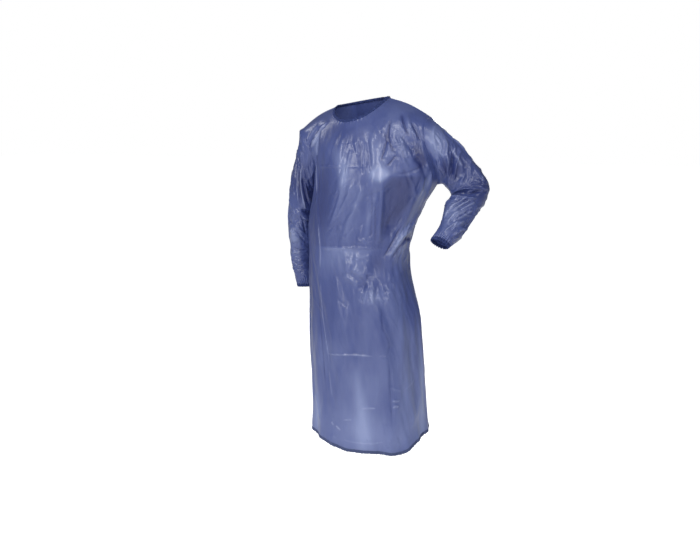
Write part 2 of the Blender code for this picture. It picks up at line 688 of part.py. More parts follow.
def make_knot(middle, out):
    """A flat knot: a rounded block whose flat side lies just clear of the back."""
    shape = bmesh.new()
    bmesh.ops.create_cube(shape, size=1.0)
    bevel_edges = [edge for edge in shape.edges if max(v.co.y for v in edge.verts) > 0]
    bmesh.ops.scale(shape, vec=(2 * KNOT_HALF_WIDTH, KNOT_DEPTH, 2 * KNOT_HALF_HEIGHT), verts=shape.verts)
    bmesh.ops.bevel(shape, geom=bevel_edges, offset=KNOT_BEVEL, segments=KNOT_BEVEL_STEPS,
                    affect="EDGES", profile=0.5)
    knot = finished_object("tie_knot", bpy.data.meshes.new("tie_knot"), shape, FILM)
    knot.location = middle + out * (KNOT_DEPTH / 2 + 2 * TAPE_CLEARANCE)
    knot.rotation_euler = (-math.asin(out[2]), 0.0, math.atan2(out[1], out[0]) - math.pi / 2)


def tape_end(name, sheet, centre, knot_columns, side):
    """One loose end of the knot, hanging down the back and leaning a little outwards."""
    top = WAIST_HEIGHT - KNOT_HALF_HEIGHT - 2 * SEAM_GAP
    per_column = knot_columns / KNOT_HALF_WIDTH
    first, second, out = [], [], []
    for share in np.linspace(0.0, 1.0, TAPE_END_STEPS + 1):
        height = top - share * TAPE_END_LENGTH
        near = TAPE_END_START + share * TAPE_END_SPLAY
        spread = ease(share * TAPE_END_SPREAD)
        width = TAPE_WIDTH * (TAPE_END_TOP_SHARE + (1.0 - TAPE_END_TOP_SHARE) * spread)
        inner, normal = place_on(sheet, centre + side * near * per_column, height)
        outer, _ = place_on(sheet, centre + side * (near + width) * per_column, height)
        first.append(inner)
        second.append(outer)
        out.append(normal)
    first, second, out = np.array(first), np.array(second), np.array(out)
    lift = out * TAPE_CLEARANCE
    return tape_solid(name, first + lift, second + lift, out)


def main():
    clear_scene()
    front, left, right = body_sheets()
    sleeve_left = sleeve_sheet("sleeve_left", front, left, LEFT_SLEEVE, 1, LEFT_SLEEVE_FOLDS)
    sleeve_right = sleeve_sheet("sleeve_right", front, right, RIGHT_SLEEVE, -1, RIGHT_SLEEVE_FOLDS)
    sheets = (front, left, right, sleeve_left, sleeve_right)
    meet_at_seams(sheets)
    make_edgings(front, left, right, (("cuff_edging_left", sleeve_left),
                                      ("cuff_edging_right", sleeve_right)))
    part_at_seams(sheets)
    for sheet in sheets:
        film_solid(sheet)
    make_tapes(left, right)


main()
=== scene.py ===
"""Sleeved chemical apron of thin film: the finished look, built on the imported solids.

Metres, +Z up. The front faces -Y, so +X is the garment's own left side. Angles are in degrees
round the body: 0 is the centre front, 90 the left side, -90 the right side and 180 the centre
back. Each cut of film is one thin sheet on the form of its solid, with the folds that its
solid has and the finer creases that film takes from packing, wear and elastic. The tables hold
millimetres and degrees, and percent of the length along a sleeve.
"""
import json
import math

import bpy
import numpy as np
from bpy.props import FloatProperty, FloatVectorProperty, IntProperty, PointerProperty
from mathutils import Matrix, Vector

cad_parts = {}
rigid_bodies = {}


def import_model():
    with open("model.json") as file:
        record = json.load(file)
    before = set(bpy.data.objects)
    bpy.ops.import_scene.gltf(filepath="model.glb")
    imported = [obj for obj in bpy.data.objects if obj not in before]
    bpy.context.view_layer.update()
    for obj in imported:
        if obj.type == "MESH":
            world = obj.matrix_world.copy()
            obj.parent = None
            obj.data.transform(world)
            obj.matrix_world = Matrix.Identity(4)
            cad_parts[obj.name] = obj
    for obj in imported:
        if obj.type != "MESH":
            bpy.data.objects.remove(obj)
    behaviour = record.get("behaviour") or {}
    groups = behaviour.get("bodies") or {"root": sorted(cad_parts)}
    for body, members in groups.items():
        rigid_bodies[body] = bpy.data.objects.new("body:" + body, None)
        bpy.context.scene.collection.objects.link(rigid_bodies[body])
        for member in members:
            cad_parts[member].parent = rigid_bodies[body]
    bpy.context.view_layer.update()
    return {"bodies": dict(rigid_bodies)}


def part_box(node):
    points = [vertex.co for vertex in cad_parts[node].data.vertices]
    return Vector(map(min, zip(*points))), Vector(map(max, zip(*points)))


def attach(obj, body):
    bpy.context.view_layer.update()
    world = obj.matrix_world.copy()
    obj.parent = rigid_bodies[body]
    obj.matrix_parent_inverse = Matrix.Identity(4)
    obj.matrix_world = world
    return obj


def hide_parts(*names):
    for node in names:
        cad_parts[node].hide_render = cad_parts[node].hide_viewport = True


bl_info = {
    "name": "Sleeved Chemical Apron",
    "version": (1, 0, 0),
    "blender": (4, 5, 0),
    "location": "3D View > Sidebar > Apron",
    "description": "A film apron with sleeves, with its seams, elastic edgings and waist tapes",
    "category": "Add Mesh",
}

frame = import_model()
BODY = next(iter(frame["bodies"]))
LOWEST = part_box("hem_edging")[0][2]

MM, PERCENT = 1000.0, 100.0
ON_BODY, ON_SLEEVE = (MM, MM), (1.0, PERCENT)

# Cut of the body, as in the solids
WALL = 0.0016
SIDE_SEAM = 98.0
ARMPIT_HEIGHT, SLOPE_STEP = -0.245, 0.020
BODY_SQUARENESS = 2.25
# Height, middle, left and right half, depth in front and behind, and turn
BODY_SECTIONS = (
    (-245, 18, 263, 191, 137, 118, 0), (-310, 8, 228, 195, 134, 112, 0),
    (-395, -3, 202, 200, 129, 105, 0), (-480, -11, 191, 191, 125, 101, 0),
    (-540, -10, 189, 189, 127, 107, 1), (-615, -1, 196, 196, 131, 118, 2),
    (-705, 13, 204, 204, 136, 130, 4), (-840, 21, 207, 207, 141, 138, 7),
    (-980, 29, 205, 205, 149, 143, 10), (-1095, 36, 209, 209, 158, 150, 12),
    (-1190, 41, 218, 218, 166, 157, 12),
)
# The film's lower edge: angle and height
HEM = (
    (-180, -1163), (-150, -1158), (-100, -1146), (-66, -1147), (-42, -1165), (-16, -1185),
    (12, -1187), (38, -1190), (60, -1158), (90, -1138), (120, -1140), (155, -1158), (180, -1163),
)

# Neckline, shoulder seams and armholes, and how the yoke leans where it meets them
NECK_RIGHT, NECK_LEFT = (-0.101, -0.003, 0.022), (0.102, 0.003, 0.052)
NECK_FRONT_REACH, NECK_FRONT_DROP = 0.105, 0.066
NECK_BACK_REACH, NECK_BACK_RISE = 0.078, 0.006
NECK_DROP_POWER = 1.3
SHOULDER_RIGHT, SHOULDER_LEFT = (-0.235, -0.002, -0.054), (0.256, 0.009, -0.014)
SHOULDER_CROWN = 0.010
ARMHOLE_REACH, ARMHOLE_REACH_POWER = 0.034, 0.6
ARMHOLE_INSET, ARMHOLE_INSET_POWER = 0.020, 2.0
ARMHOLE_WIDTH_POWER = 3.0
LEAN_IN, LEAN_FLATTER_AT_NECK = 0.60, 0.42
LEAN_UP, LEAN_UP_AT_NECK = 0.28, 0.55
ARMPIT_HOLD, TOP_HOLD = 0.80, 1.15

# Coarse columns and rows of the form, and the lap of the backs
LAP_COLUMNS, LAP_OFFSET = 3, 0.0045
NECK_STEPS, SHOULDER_STEPS = 8, 7
HALF_STEPS = NECK_STEPS + SHOULDER_STEPS
NECK_SHARE = NECK_STEPS / HALF_STEPS
YOKE_ROWS, SKIRT_ROWS, WAIST_ROW, SLEEVE_ROWS = 11, 18, 12, 20
SETTLE_ROWS, SETTLE_ROUNDS, SETTLE_SHARE = 4, 8, 0.6
WAIST_HEIGHT = -0.470

# Waist tapes and their knot
TAPE_WIDTH, TAPE_END_LENGTH = 0.022, 0.170
TAPE_START_COLUMN = 3
TIE_LENGTH, TAPE_TOP, TAPE_BASE = 0.20, 0.0006, 0.0002
KNOT_HALF_WIDTH, KNOT_OFF_FILM = 0.010, 0.0056
KNOT_HALF_SIZES = (0.0140, 0.0135, 0.0044)
END_DROP, END_SPREAD, END_CURL, END_LEAN = 0.008, 0.020, 0.0016, 0.0120

# Edgings and welded seams
EDGING_OVERLAP, EDGING_WAVES, STITCH_SLANT = 0.0006, (0.007, 0.011, 0.018), 0.0016
CLOSEST_EDGE_POINTS = 0.0008
SEAM_SIDES, SEAM_SUNK = 8, 0.3

# Sleeve sections: the outer and the inner edge as x, y, z, and half the depth
SLEEVE_SECTIONS = {
    "left": (
        (335, 35, -90, 303, 16, -245, 60), (378, 45, -142, 314, 18, -256, 58),
        (426, 51, -195, 326, 16, -268, 55), (457, 47, -247, 334, 9, -281, 52),
        (453, 25, -292, 335, -5, -294, 50), (439, 0, -326, 327, -22, -306, 48),
        (418, -39, -374, 327, -48, -334, 45), (395, -77, -421, 328, -87, -373, 39),
        (370, -101, -444, 317, -124, -411, 31),
    ),
    "right": (
        (-264, 4, -165, -193, 12, -290, 62), (-282, 5, -268, -197, 10, -340, 60),
        (-291, 8, -365, -209, 11, -400, 57), (-294, 10, -445, -213, 11, -460, 53),
        (-290, 8, -520, -213, 9, -525, 47), (-277, 5, -585, -211, 6, -583, 38),
        (-264, 2, -632, -207, 3, -628, 30),
    ),
}
SLEEVE_LENGTH, SLEEVE_GIRTH = 0.58, 0.30
SLEEVE_SCALE = (SLEEVE_GIRTH / 360.0, SLEEVE_LENGTH)

# Shares of the cloth that stay smooth by the armholes, by the top edge and by the armpits
FOLDS_CLEAR, CREASES_CLEAR = (0.22, 0.25, 0.06), (0.07, 0.07, 0.04)
METRES_PER_DEGREE = 0.0034

# Largest folds, as in the solids: where each starts and ends, half width and depth. A place is
# degrees round, and then the height on the body or the percent along a sleeve.
FOLD_OVERRUN, FOLD_FADE = 0.12, 0.30
BODY_FOLDS = (
    (-6, -60, -20, -440, 22, 6), (14, -60, 22, -400, 20, -6), (45, -60, 84, -270, 22, -12),
    (62, -130, 96, -300, 18, 8), (-50, -50, -84, -260, 20, -8), (60, -300, 30, -560, 24, -6),
    (95, -330, 52, -520, 20, 7), (-84, -560, -66, -1180, 24, 7), (-40, -640, -28, -1200, 30, -6),
    (20, -480, 34, -1200, 24, 6), (60, -620, 66, -1200, 26, -7), (86, -600, 90, -1180, 22, 8),
    (130, -300, 172, -465, 26, -7), (-130, -300, -172, -465, 26, -7),
    (150, -500, 128, -1180, 30, 9), (-150, -500, -128, -1180, 30, 9),
    (176, -560, 160, -1180, 30, -7), (-176, -560, -160, -1180, 30, -7),
)
SLEEVE_FOLDS = {
    "left": (
        (150, 10, 60, 44, 20, -6), (165, 48, 60, 56, 14, -7), (150, 64, 60, 84, 16, 5),
        (-120, 20, -60, 60, 22, -6), (20, 20, 40, 46, 18, 5),
    ),
    "right": (
        (60, 10, 90, 44, 18, -6), (30, 20, 20, 56, 16, 5), (110, 48, 60, 56, 16, -7),
        (80, 60, 50, 90, 16, 5), (-90, 30, -60, 80, 20, -6),
    ),
}

# Finer divisions of each coarse row and column
SKIRT_STEPS, YOKE_STEPS = 16, 8
FRONT_STEPS, BACK_STEPS = 7, 6
SLEEVE_ROW_STEPS, SLEEVE_COLUMN_STEPS = 11, 7
ARMPIT = SKIRT_ROWS * SKIRT_STEPS
WAIST = WAIST_ROW * SKIRT_STEPS

# Creases: half width, depth, sharpness, lean, and then the points of the path. Sharpness 0 is a
# soft roll and 1 a folded line, and lean makes one side of it the steeper. A positive depth
# stands out and a negative one goes in.
FRONT_RELIEF, FRONT_CREASES_CLEAR = 1.25, 0.10
SLEEVE_RELIEF = {"left": 1.5, "right": 1.15}
CREASE_FADE, FOLDED_FALL, LINE_FALL = 0.25, 1.4, 1.8

# On the front, with paths across and in height: the fan of soft folds below the neckline, the
# rolls down the chest, the crossed creases over both sides of it, the packing folds down and
# across, the wrinkles at the waist, and small marks low on the skirt
FRONT_CREASES = (
    (12, 1, 0, 0, -45, -50, -78, -120, -105, -200),
    (7, -1.2, 0, 0, -28, -60, -60, -130, -80, -210),
    (11, 1.3, 0, 0.2, -9, -65, -34, -150, -51, -235),
    (6, -1.4, 0, 0, 10, -70, -8, -140, -22, -230), (8, 1.4, 0, 0, 33, -70, 42, -130, 47, -200),
    (4, -1.4, 0.3, 0, 48, -80, 56, -140, 60, -215), (7, 1.4, 0, 0, 58, -85, 68, -140, 74, -215),
    (4, -1.2, 0.3, 0, 75, -80, 84, -140, 88, -200), (10, 2.2, 0, 0, 88, -60, 98, -130, 106, -205),
    (5, 3.4, 0.6, 0.2, 21, -118, 17, -140, 8, -190, 3, -218),
    (4, 2.2, 0.6, 0, 14, -165, 8, -195, 11, -222), (4, 2, 0.6, 0, 4, -172, -4, -200, -2, -226),
    (12, 3.6, 0.1, 0.3, 2, -192, -19, -277, -65, -392),
    (7, -3.6, 0.4, 0, -18, -240, -40, -310, -80, -400),
    (11, 3.1, 0.1, 0.3, 40, -222, -4, -301, -58, -385),
    (6, -3.2, 0.4, 0, 14, -250, -16, -310, -50, -370),
    (9, 3.4, 0.2, 0.2, 67, -235, 50, -289, 18, -345),
    (10, 3.4, 0.2, 0.2, 56, -300, 10, -370, -10, -430),
    (4, 1.4, 0.4, 0, -20, -330, -46, -390, -66, -440),
    (4, 1.4, 0.4, 0, 30, -350, 8, -400, -4, -450),
    (5, -2.2, 0.7, 0.3, 95, -246, 91, -340, 86, -458),
    (6, 1.2, 0.3, 0, 84, -220, 82, -290, 78, -360),
    (4, -2, 0.8, 0.2, 105, -285, 103, -370, 99, -458),
    (9, 4.4, 0.2, 0.9, 137, -215, 128, -324, 112, -455),
    (28, -10, 0, 0, 178, -200, 160, -320, 146, -440),
    (3.5, -3.4, 0.9, 0, 124, -58, 142, -86, 137, -121, 127, -172),
    (4, -3.8, 0.8, 0.3, 143, -12, 146, -74, 158, -109, 182, -144),
    (3.5, -3.2, 0.9, 0, 182, -138, 165, -158, 146, -182),
    (8, 3.4, 0.2, 0, 152, -92, 153, -125, 148, -160),
    (5, -4, 0.7, 0.2, 168, 6, 194, -47, 216, -86), (7, 2.6, 0.2, 0, 186, 0, 210, -46, 230, -82),
    (5, -3.6, 0.7, 0, 210, -30, 232, -64, 248, -96),
    (9, -6, 0.3, 0, 236, -142, 250, -160, 268, -182),
    (7, 4, 0.3, 0, 218, -118, 245, -150, 280, -196),
    (5, 3, 0.5, 0, 190, -118, 200, -150, 222, -190),
    (5, -3, 0.6, 0, 262, -176, 225, -196, 180, -206),
    (5, -3, 0.6, 0, 200, -180, 215, -220, 224, -260),
    (6, 2.8, 0.3, 0, 214, -200, 228, -240, 232, -290),
    (5, 6, 0.7, 0.5, -92, -26, -130, -70, -172, -124),
    (3.5, -3.4, 0.9, 0, -108, -24, -142, -66, -184, -120),
    (6, 4.6, 0.5, 0.2, -140, -36, -176, -80, -200, -120),
    (4, 3.4, 0.7, 0.2, -120, -50, -156, -86, -176, -130),
    (5, 2.8, 0.4, 0, -160, -118, -172, -150, -176, -190),
    (4, 2.2, 0.6, 0, -120, -60, -140, -100, -150, -150),
    (10, -2.2, 0, 0, -110, -80, -140, -150, -150, -210),
    (3, 2.4, 1, 0.2, -146, -160, -141, -193, -135, -290),
    (3, 1.2, 0.4, 0, -136, -265, -133, -316, -118, -395),
    (3, 2.2, 0.9, 0.2, -121, -375, -113, -482, -110, -560),
    (3.5, -1.6, 0.8, 0, -130, -170, -120, -320, -104, -420),
    (3, 1.2, 1, 0.3, -109, -560, -94, -756, -73, -850, -60, -920),
    (3, -1.2, 1, 0, -125, -580, -108, -760, -96, -860, -70, -1030),
    (4, -1.4, 0.9, 0.3, 125, -660, 134, -740, 156, -812, 150, -850),
    (3.5, -1, 1, 0.4, 150, -820, 157, -880, 163, -964, 178, -1140),
    (4, 0.5, 0.8, 0, 156, -830, 166, -900, 174, -1000, 186, -1130),
    (4, 1.2, 0.8, 0, -66, -900, -58, -960, -47, -1020),
    (8, 1.6, 0.2, 0, 138, -745, 150, -780, 158, -815),
    (4, 1, 0.5, 1, -150, -186, -60, -181, 30, -180, 100, -176),
    (5, 1.4, 0.3, 1, -124, -474, -30, -468, 30, -463, 134, -464),
    (3, 1.5, 1, 1, -86, -855, -10, -849, 42, -845, 116, -846),
    (3, 1.1, 0.8, 0, 122, -846, 134, -842, 150, -846),
    (3, 1.8, 1, 0.5, 66, -1037, 92, -1034, 120, -1033),
    (3, 1.2, 1, 0.5, -2, -1085, 18, -1082, 38, -1080),
    (3, 1, 1, 0, -20, -1152, 40, -1160, 128, -1158, 166, -1150),
    (5, 1.8, 0.5, 0, 44, -436, 62, -446, 80, -458), (4, 1.6, 0.6, 0, 58, -428, 74, -440, 92, -450),
    (5, 2.4, 0.5, 0, 16, -512, 50, -500, 88, -490),
    (7, 5.2, 0.4, 0, 198, -392, 168, -450, 136, -508),
    (5, 4, 0.5, 0, 190, -430, 172, -468, 150, -508),
    (4, -4.4, 0.8, 0, 204, -406, 174, -460, 144, -514),
    (4, -4, 0.8, 0, 186, -380, 154, -440, 122, -502), (12, 4, 0, 0, 10, -530, 46, -552, 78, -568),
    (10, 2.6, 0, 0, -20, -560, 20, -580, 50, -600), (14, -4.6, 0, 0, 86, -545, 70, -585, 54, -622),
    (4, 2.2, 0.6, 0, 45, -644, 56, -655, 70, -663),
    (4, 1.8, 0.55, 0, 72, -664, 90, -658, 112, -650),
    (3.4, 2, 0.7, 0, 60, -632, 65, -648, 70, -662),
    (3.4, 1.8, 0.65, 0.2, 80, -608, 72, -632, 71, -655),
    (3.6, 2.8, 0.8, 0, 86, -630, 94, -642, 101, -655),
    (3.4, 2.4, 0.75, 0, 97, -612, 96, -630, 102, -648),
    (3.4, 2.2, 0.75, 0.2, 92, -574, 94, -592, 102, -614),
    (3.4, 1.6, 0.6, 0, 112, -598, 114, -620, 121, -640),
    (3.4, 2, 0.75, 0, 118, -588, 126, -602, 127, -616),
    (3.4, 1.6, 0.65, 0, 126, -610, 134, -618, 136, -632),
    (3.4, 2, 0.75, 0, 134, -590, 140, -604, 148, -614),
    (3.4, 1.4, 0.6, 0, 148, -584, 158, -596, 160, -610),
    (4.5, -2.2, 0.4, 0, 87, -600, 82, -624, 85, -650),
    (4.5, -2.4, 0.4, 0, 107, -590, 109, -616, 111, -644),
    (4.5, -2, 0.4, 0, 128, -582, 133, -600, 142, -622),
    (10, 2.2, 0, 0, 30, -480, 40, -520, 34, -560),
    (3, 1.8, 1, 0, 168, -1004, 180, -1008, 192, -1006),
    (3, 2.2, 1, 0, 172, -1031, 180, -1026, 190, -1030),
    (3, 2, 1, 0, -48, -1098, -44, -1106, -38, -1110),
    (3, 2.2, 1, 0, -30, -1108, -18, -1118, -6, -1124),
    (4, 0.8, 0.8, 0, 200, -976, 212, -960, 224, -934),
    (4, 1, 0.8, 0, 160, -955, 180, -968, 198, -976),
    (6, 3, 0.4, 0, -136, -1000, -118, -1060, -98, -1120),
    (7, 3.4, 0.4, 0, 234, -860, 236, -980, 226, -1130),
)
# Round the sides and the back, with paths round from the centre front and in height
SIDE_CREASES = (
    (5, 1, 0.4, 1, 300, -468, 360, -471, 420, -474),
    (5, 1.2, 0.4, 1, -300, -478, -380, -482, -440, -484),
    (3.5, 1.2, 0.8, 1, 330, -850, 400, -853, 480, -855),
    (3.5, 1.4, 0.8, 1, 500, -852, 560, -856, 620, -854),
    (3.5, 1.2, 0.8, 1, -300, -856, -400, -852, -460, -856),
    (3.5, 1.4, 0.8, 1, -480, -858, -540, -854, -620, -856),
    (3.5, 1.2, 0.8, 0.3, 395, -560, 400, -700, 408, -1000),
    (3.5, 1.2, 0.8, 0.3, -400, -520, -405, -740, -412, -1080),
    (3.5, 1.4, 0.8, 0.3, 505, -150, 510, -300, 506, -440),
    (3.5, 1.2, 0.8, 0.3, 505, -500, 500, -800, 508, -1090),
    (3.5, 1.4, 0.8, 0.3, -500, -130, -505, -300, -508, -430),
    (3.5, 1.2, 0.8, 0.3, -510, -500, -512, -760, -505, -1000),
    (4, 1, 0.7, 1, 400, -180, 480, -182, 560, -180),
    (4, 1, 0.7, 1, -390, -184, -480, -182, -600, -180),
    (9, 5, 0.2, 0.2, 340, -300, 400, -380, 470, -440),
    (8, -4, 0.2, 0, 350, -340, 410, -410, 470, -452),
    (8, 4.4, 0.2, 0.2, -350, -310, -420, -390, -490, -444),
    (8, -4, 0.2, 0, -350, -350, -410, -415, -470, -455),
    (6, 3.4, 0.3, 0, 420, -260, 480, -340, 540, -430),
    (6, 3, 0.3, 0, -430, -250, -480, -350, -530, -430),
    (10, 4, 0.2, 0, 560, -60, 520, -160, 500, -300),
    (10, 4, 0.2, 0, -560, -60, -525, -160, -500, -300),
    (7, 3.6, 0.4, 0, 400, -60, 440, -140, 460, -240),
    (7, 3.6, 0.4, 0, -390, -80, -430, -160, -450, -240),
    (6, -2.8, 0.4, 0, 450, -50, 480, -130, 500, -220),
    (6, -2.8, 0.4, 0, -460, -50, -480, -130, -490, -220),
    (10, -4, 0.2, 0, 440, -520, 420, -700, 430, -900),
    (10, -4, 0.2, 0, -450, -520, -440, -720, -430, -920),
    (10, 4, 0.2, 0, 500, -520, 470, -640, 460, -800),
    (10, 4, 0.2, 0, -500, -520, -480, -650, -470, -820),
    (8, 3.6, 0.3, 0, 540, -510, 530, -600, 520, -720),
    (8, 3.6, 0.3, 0, -560, -510, -545, -620, -540, -700),
    (8, 3.4, 0.3, 0, 270, -620, 280, -860, 300, -1130),
    (8, -3, 0.3, 0, -255, -560, -250, -800, -240, -1120),
)
# On the sleeves, with paths in degrees round and along: the shoulder, the crook of the elbow,
# the forearm and the hidden side
SLEEVE_CREASES = {
    "left": (
        (8, -6.4, 0.3, 0, 50, 17, 84, 21, 120, 26), (6, 4.6, 0.4, 0.2, 30, 22, 76, 25, 118, 32),
        (6, 4, 0.4, 0, 40, 12, 70, 14, 110, 20), (6, 3.4, 0.4, 0, 60, 5, 81, 9, 90, 15),
        (5, -3.6, 0.5, 0, 70, 6, 100, 12, 130, 20), (6, 2.4, 0.4, 0, 20, 28, 56, 35, 84, 44),
        (7, 2.2, 0.3, 0, 60, 27, 92, 36, 120, 46), (7, -2.2, 0.3, 0, 76, 24, 110, 33, 140, 44),
        (6, 3.8, 0.4, 0, 100, 14, 140, 28, 165, 40), (4, 2.6, 0.6, 0, 10, 10, 20, 22, 14, 34),
        (5, 3.8, 0.68, 0.3, 54, 16, 62, 22, 66, 30), (12, -10, 0.1, 0, 170, 50, 130, 52, 90, 55.5),
        (6, 5, 0.4, 0, 170, 46, 130, 47.5, 84, 50, 50, 51),
        (6, 5, 0.4, 0, 160, 57, 110, 60, 70, 60, 44, 57),
        (4, -4, 0.6, 0, 150, 53, 116, 55, 70, 54, 30, 50),
        (4.5, 3.6, 0.67, 0, 44, 60, 64, 66, 84, 73), (4, -3, 0.6, 0, 54, 60, 74, 66, 96, 74),
        (4.5, 3.8, 0.68, 0, 62, 60, 84, 67, 108, 76), (4, -3, 0.6, 0, 72, 60, 96, 67, 116, 75),
        (4.5, 3.6, 0.67, 0, 80, 59, 104, 68, 126, 77), (4, -2.6, 0.6, 0, 94, 60, 116, 69, 138, 78),
        (4.5, 3.4, 0.65, 0, 100, 64, 126, 74, 150, 84),
        (4.5, 3.4, 0.65, 0, 36, 66, 58, 73, 78, 80), (4, -2.6, 0.6, 0, 48, 68, 68, 74, 90, 82),
        (4.5, 3.6, 0.67, 0, 56, 68, 80, 76, 104, 85), (4, -2.8, 0.6, 0, 68, 72, 90, 79, 112, 87),
        (4.5, 3.6, 0.67, 0, 78, 72, 102, 79, 124, 88), (4.5, 3.4, 0.65, 0, 44, 76, 66, 82, 92, 91),
        (4, -2.4, 0.6, 0, 58, 80, 78, 86, 100, 93), (4.5, 3.2, 0.6, 0, 70, 80, 96, 88, 116, 95),
        (4.5, 3, 0.6, 0, 30, 80, 50, 87, 66, 95), (5, 3, 0.5, 0, 36, 60, 26, 72, 32, 88),
        (5, 2.6, 0.5, 0, 14, 60, 8, 74, 16, 90), (7, 4, 0.3, 0, -30, 20, -60, 36, -90, 50),
        (6, -3.4, 0.4, 0, -50, 18, -84, 32, -116, 46), (6, 3.6, 0.3, 0, 0, 44, -40, 50, -90, 55),
        (6, 3.6, 0.3, 0, 0, 56, -40, 58, -100, 60), (6, -3, 0.3, 0, -20, 62, -60, 72, -90, 86),
        (5, 3, 0.4, 0, -40, 62, -84, 72, -110, 90), (4, 1.4, 0.9, 0.8, -150, 36, -90, 36, -20, 36),
    ),
    "right": (
        (4.5, 4.4, 0.68, 0.2, 60, 12, 78, 25, 100, 38), (5, -3.6, 0.4, 0, 74, 17, 98, 29, 122, 41),
        (4.5, 4.8, 0.7, 0.2, 80, 10, 106, 25, 138, 42),
        (5, -3.6, 0.4, 0, 98, 14, 126, 24, 152, 36), (5, 3.4, 0.4, 0, 112, 15, 138, 24, 162, 34),
        (10, -7, 0.1, 0, 110, 40, 144, 41.5, 178, 43.5),
        (6, 4, 0.4, 0, 120, 47, 150, 46.5, 178, 46), (5, -4, 0.5, 0, 112, 44, 132, 50, 150, 62),
        (12, 5, 0.1, 0, 70, 58, 90, 63, 104, 68), (6, -3.4, 0.4, 0, 94, 57, 124, 63, 160, 70),
        (5, 3.4, 0.4, 0, 60, 53, 100, 55, 140, 60), (4, -3.6, 0.6, 0, 74, 71.5, 110, 73, 160, 73),
        (5, 3.4, 0.4, 0, 60, 75.5, 110, 76, 150, 77), (4, 3, 0.5, 0, 60, 80, 90, 81.5, 140, 81),
        (4, -2.8, 0.5, 0, 50, 79, 80, 84, 130, 85), (4, 3, 0.5, 0, 50, 87, 90, 86.5, 130, 88),
        (8, -5, 0.2, 0, -6, 4, 30, 10, 56, 20), (7, 4.4, 0.3, 0, 24, 5, 46, 15, 60, 30),
        (6, 3.4, 0.3, 0, 60, 6, 76, 12, 100, 18), (8, 3.4, 0.2, 0, 40, 40, 30, 55, 44, 72),
        (7, 3.6, 0.3, 0, 0, 10, -10, 34, 0, 60), (7, 3.6, 0.3, 0, -60, 12, -90, 30, -120, 44),
        (7, -3.6, 0.3, 0, -70, 42, -100, 50, -140, 54),
        (6, 3.4, 0.3, 0, -60, 56, -100, 64, -140, 68),
        (4, 1.8, 0.9, 0.8, -160, 38, -90, 38, 40, 38),
    ),
}
# Crumpled patches: the middle, the half size, the way of the small creases in degrees, their
# length, width and depth, and their number. Places are as in the tables of creases.
BODY_PATCHES = (
    (-245, -120, 45, 60, 60, 28, 3.4, 1.2, 30), (130, -110, 30, 60, 80, 26, 2.8, 1.2, 26),
    (195, -95, 50, 50, 70, 28, 3, 1.5, 44), (160, -90, 40, 70, 60, 26, 3.2, 1.3, 30),
    (55, -140, 85, 60, 94, 90, 4.2, 0.7, 36), (20, -310, 90, 110, 72, 90, 4, 0.8, 46),
    (160, -330, 60, 110, 88, 80, 4, 0.5, 20), (90, -445, 50, 20, -25, 22, 3, 1, 14),
    (50, -515, 50, 30, 20, 26, 3.6, 0.8, 16), (105, -622, 46, 30, -72, 18, 3.4, 1.1, 34),
    (80, -575, 40, 30, 50, 26, 3.6, 1.2, 10), (200, -600, 60, 60, 60, 34, 3.6, 1, 18),
    (115, -845, 30, 10, 60, 12, 2.8, 1, 8), (230, -440, 50, 70, 60, 40, 3.8, 2, 30),
    (0, -1120, 220, 50, 10, 20, 3.4, 0.7, 26), (50, -1160, 300, 16, 88, 16, 3, 1, 60),
    (400, -420, 120, 40, 90, 34, 4, 2, 30), (-400, -420, 120, 40, 90, 34, 4, 2, 30),
    (450, -520, 150, 34, 90, 40, 4.2, 2, 30), (-450, -520, 150, 34, 90, 40, 4.2, 2, 30),
    (0, -300, 300, 200, 75, 70, 5.4, 0.5, 34), (0, -850, 340, 300, 88, 110, 4.2, 0.6, 70),
    (0, -620, 340, 140, 88, 90, 4.6, 0.4, 40), (480, -800, 150, 300, 85, 90, 4.6, 0.8, 40),
    (-480, -800, 150, 300, 85, 90, 4.6, 0.8, 40), (500, -180, 110, 110, 60, 40, 4, 1.4, 30),
    (-500, -180, 110, 110, -60, 40, 4, 1.4, 30),
)
SLEEVE_PATCHES = {
    "left": (
        (80, 13, 80, 8, 50, 28, 3.2, 1.7, 60), (90, 33, 80, 11, 60, 36, 4, 0.9, 28),
        (100, 50, 80, 7, 20, 24, 3, 1.6, 30), (84, 76, 70, 17, 62, 36, 3.3, 1.4, 60),
        (0, 30, 60, 25, 70, 34, 3.6, 1.4, 50), (-90, 30, 90, 20, 50, 40, 4, 1.4, 44),
        (-90, 76, 90, 18, 60, 34, 3.4, 1.5, 50),
    ),
    "right": (
        (70, 11, 90, 8, 60, 28, 3.2, 1.7, 60), (80, 29, 80, 12, 74, 50, 4, 1.1, 40),
        (120, 44, 60, 5, 10, 24, 3, 1.8, 24), (90, 60, 80, 10, 50, 34, 3.6, 1.3, 40),
        (90, 83, 80, 10, 20, 30, 3.4, 1.4, 44), (0, 40, 60, 30, 70, 34, 3.6, 1.4, 60),
        (-90, 30, 90, 20, 60, 40, 4, 1.4, 44), (-90, 72, 90, 18, 20, 30, 3.4, 1.5, 50),
    ),
}
# Soft patches: the middle, the half size and the strength, and 1 for one that ends at its own
# middle. Around is from the centre front, or from the outer edge of a sleeve.
TONE_EDGE = 0.012

# Soft bulges and hollows of the body, with their heights
BODY_BULGES = (
    (88, -232, 30, 34, 9), (-10, -215, 34, 60, 3.6), (-150, -100, 50, 50, 3),
    (150, -120, 30, 40, 3), (30, -535, 50, 34, 3.6), (200, -560, 50, 50, 4),
    (-300, -560, 80, 60, 4), (480, -560, 90, 60, 5), (-500, -560, 90, 60, 5),
    (450, -400, 70, 50, 4), (-450, -400, 70, 50, 4),
)
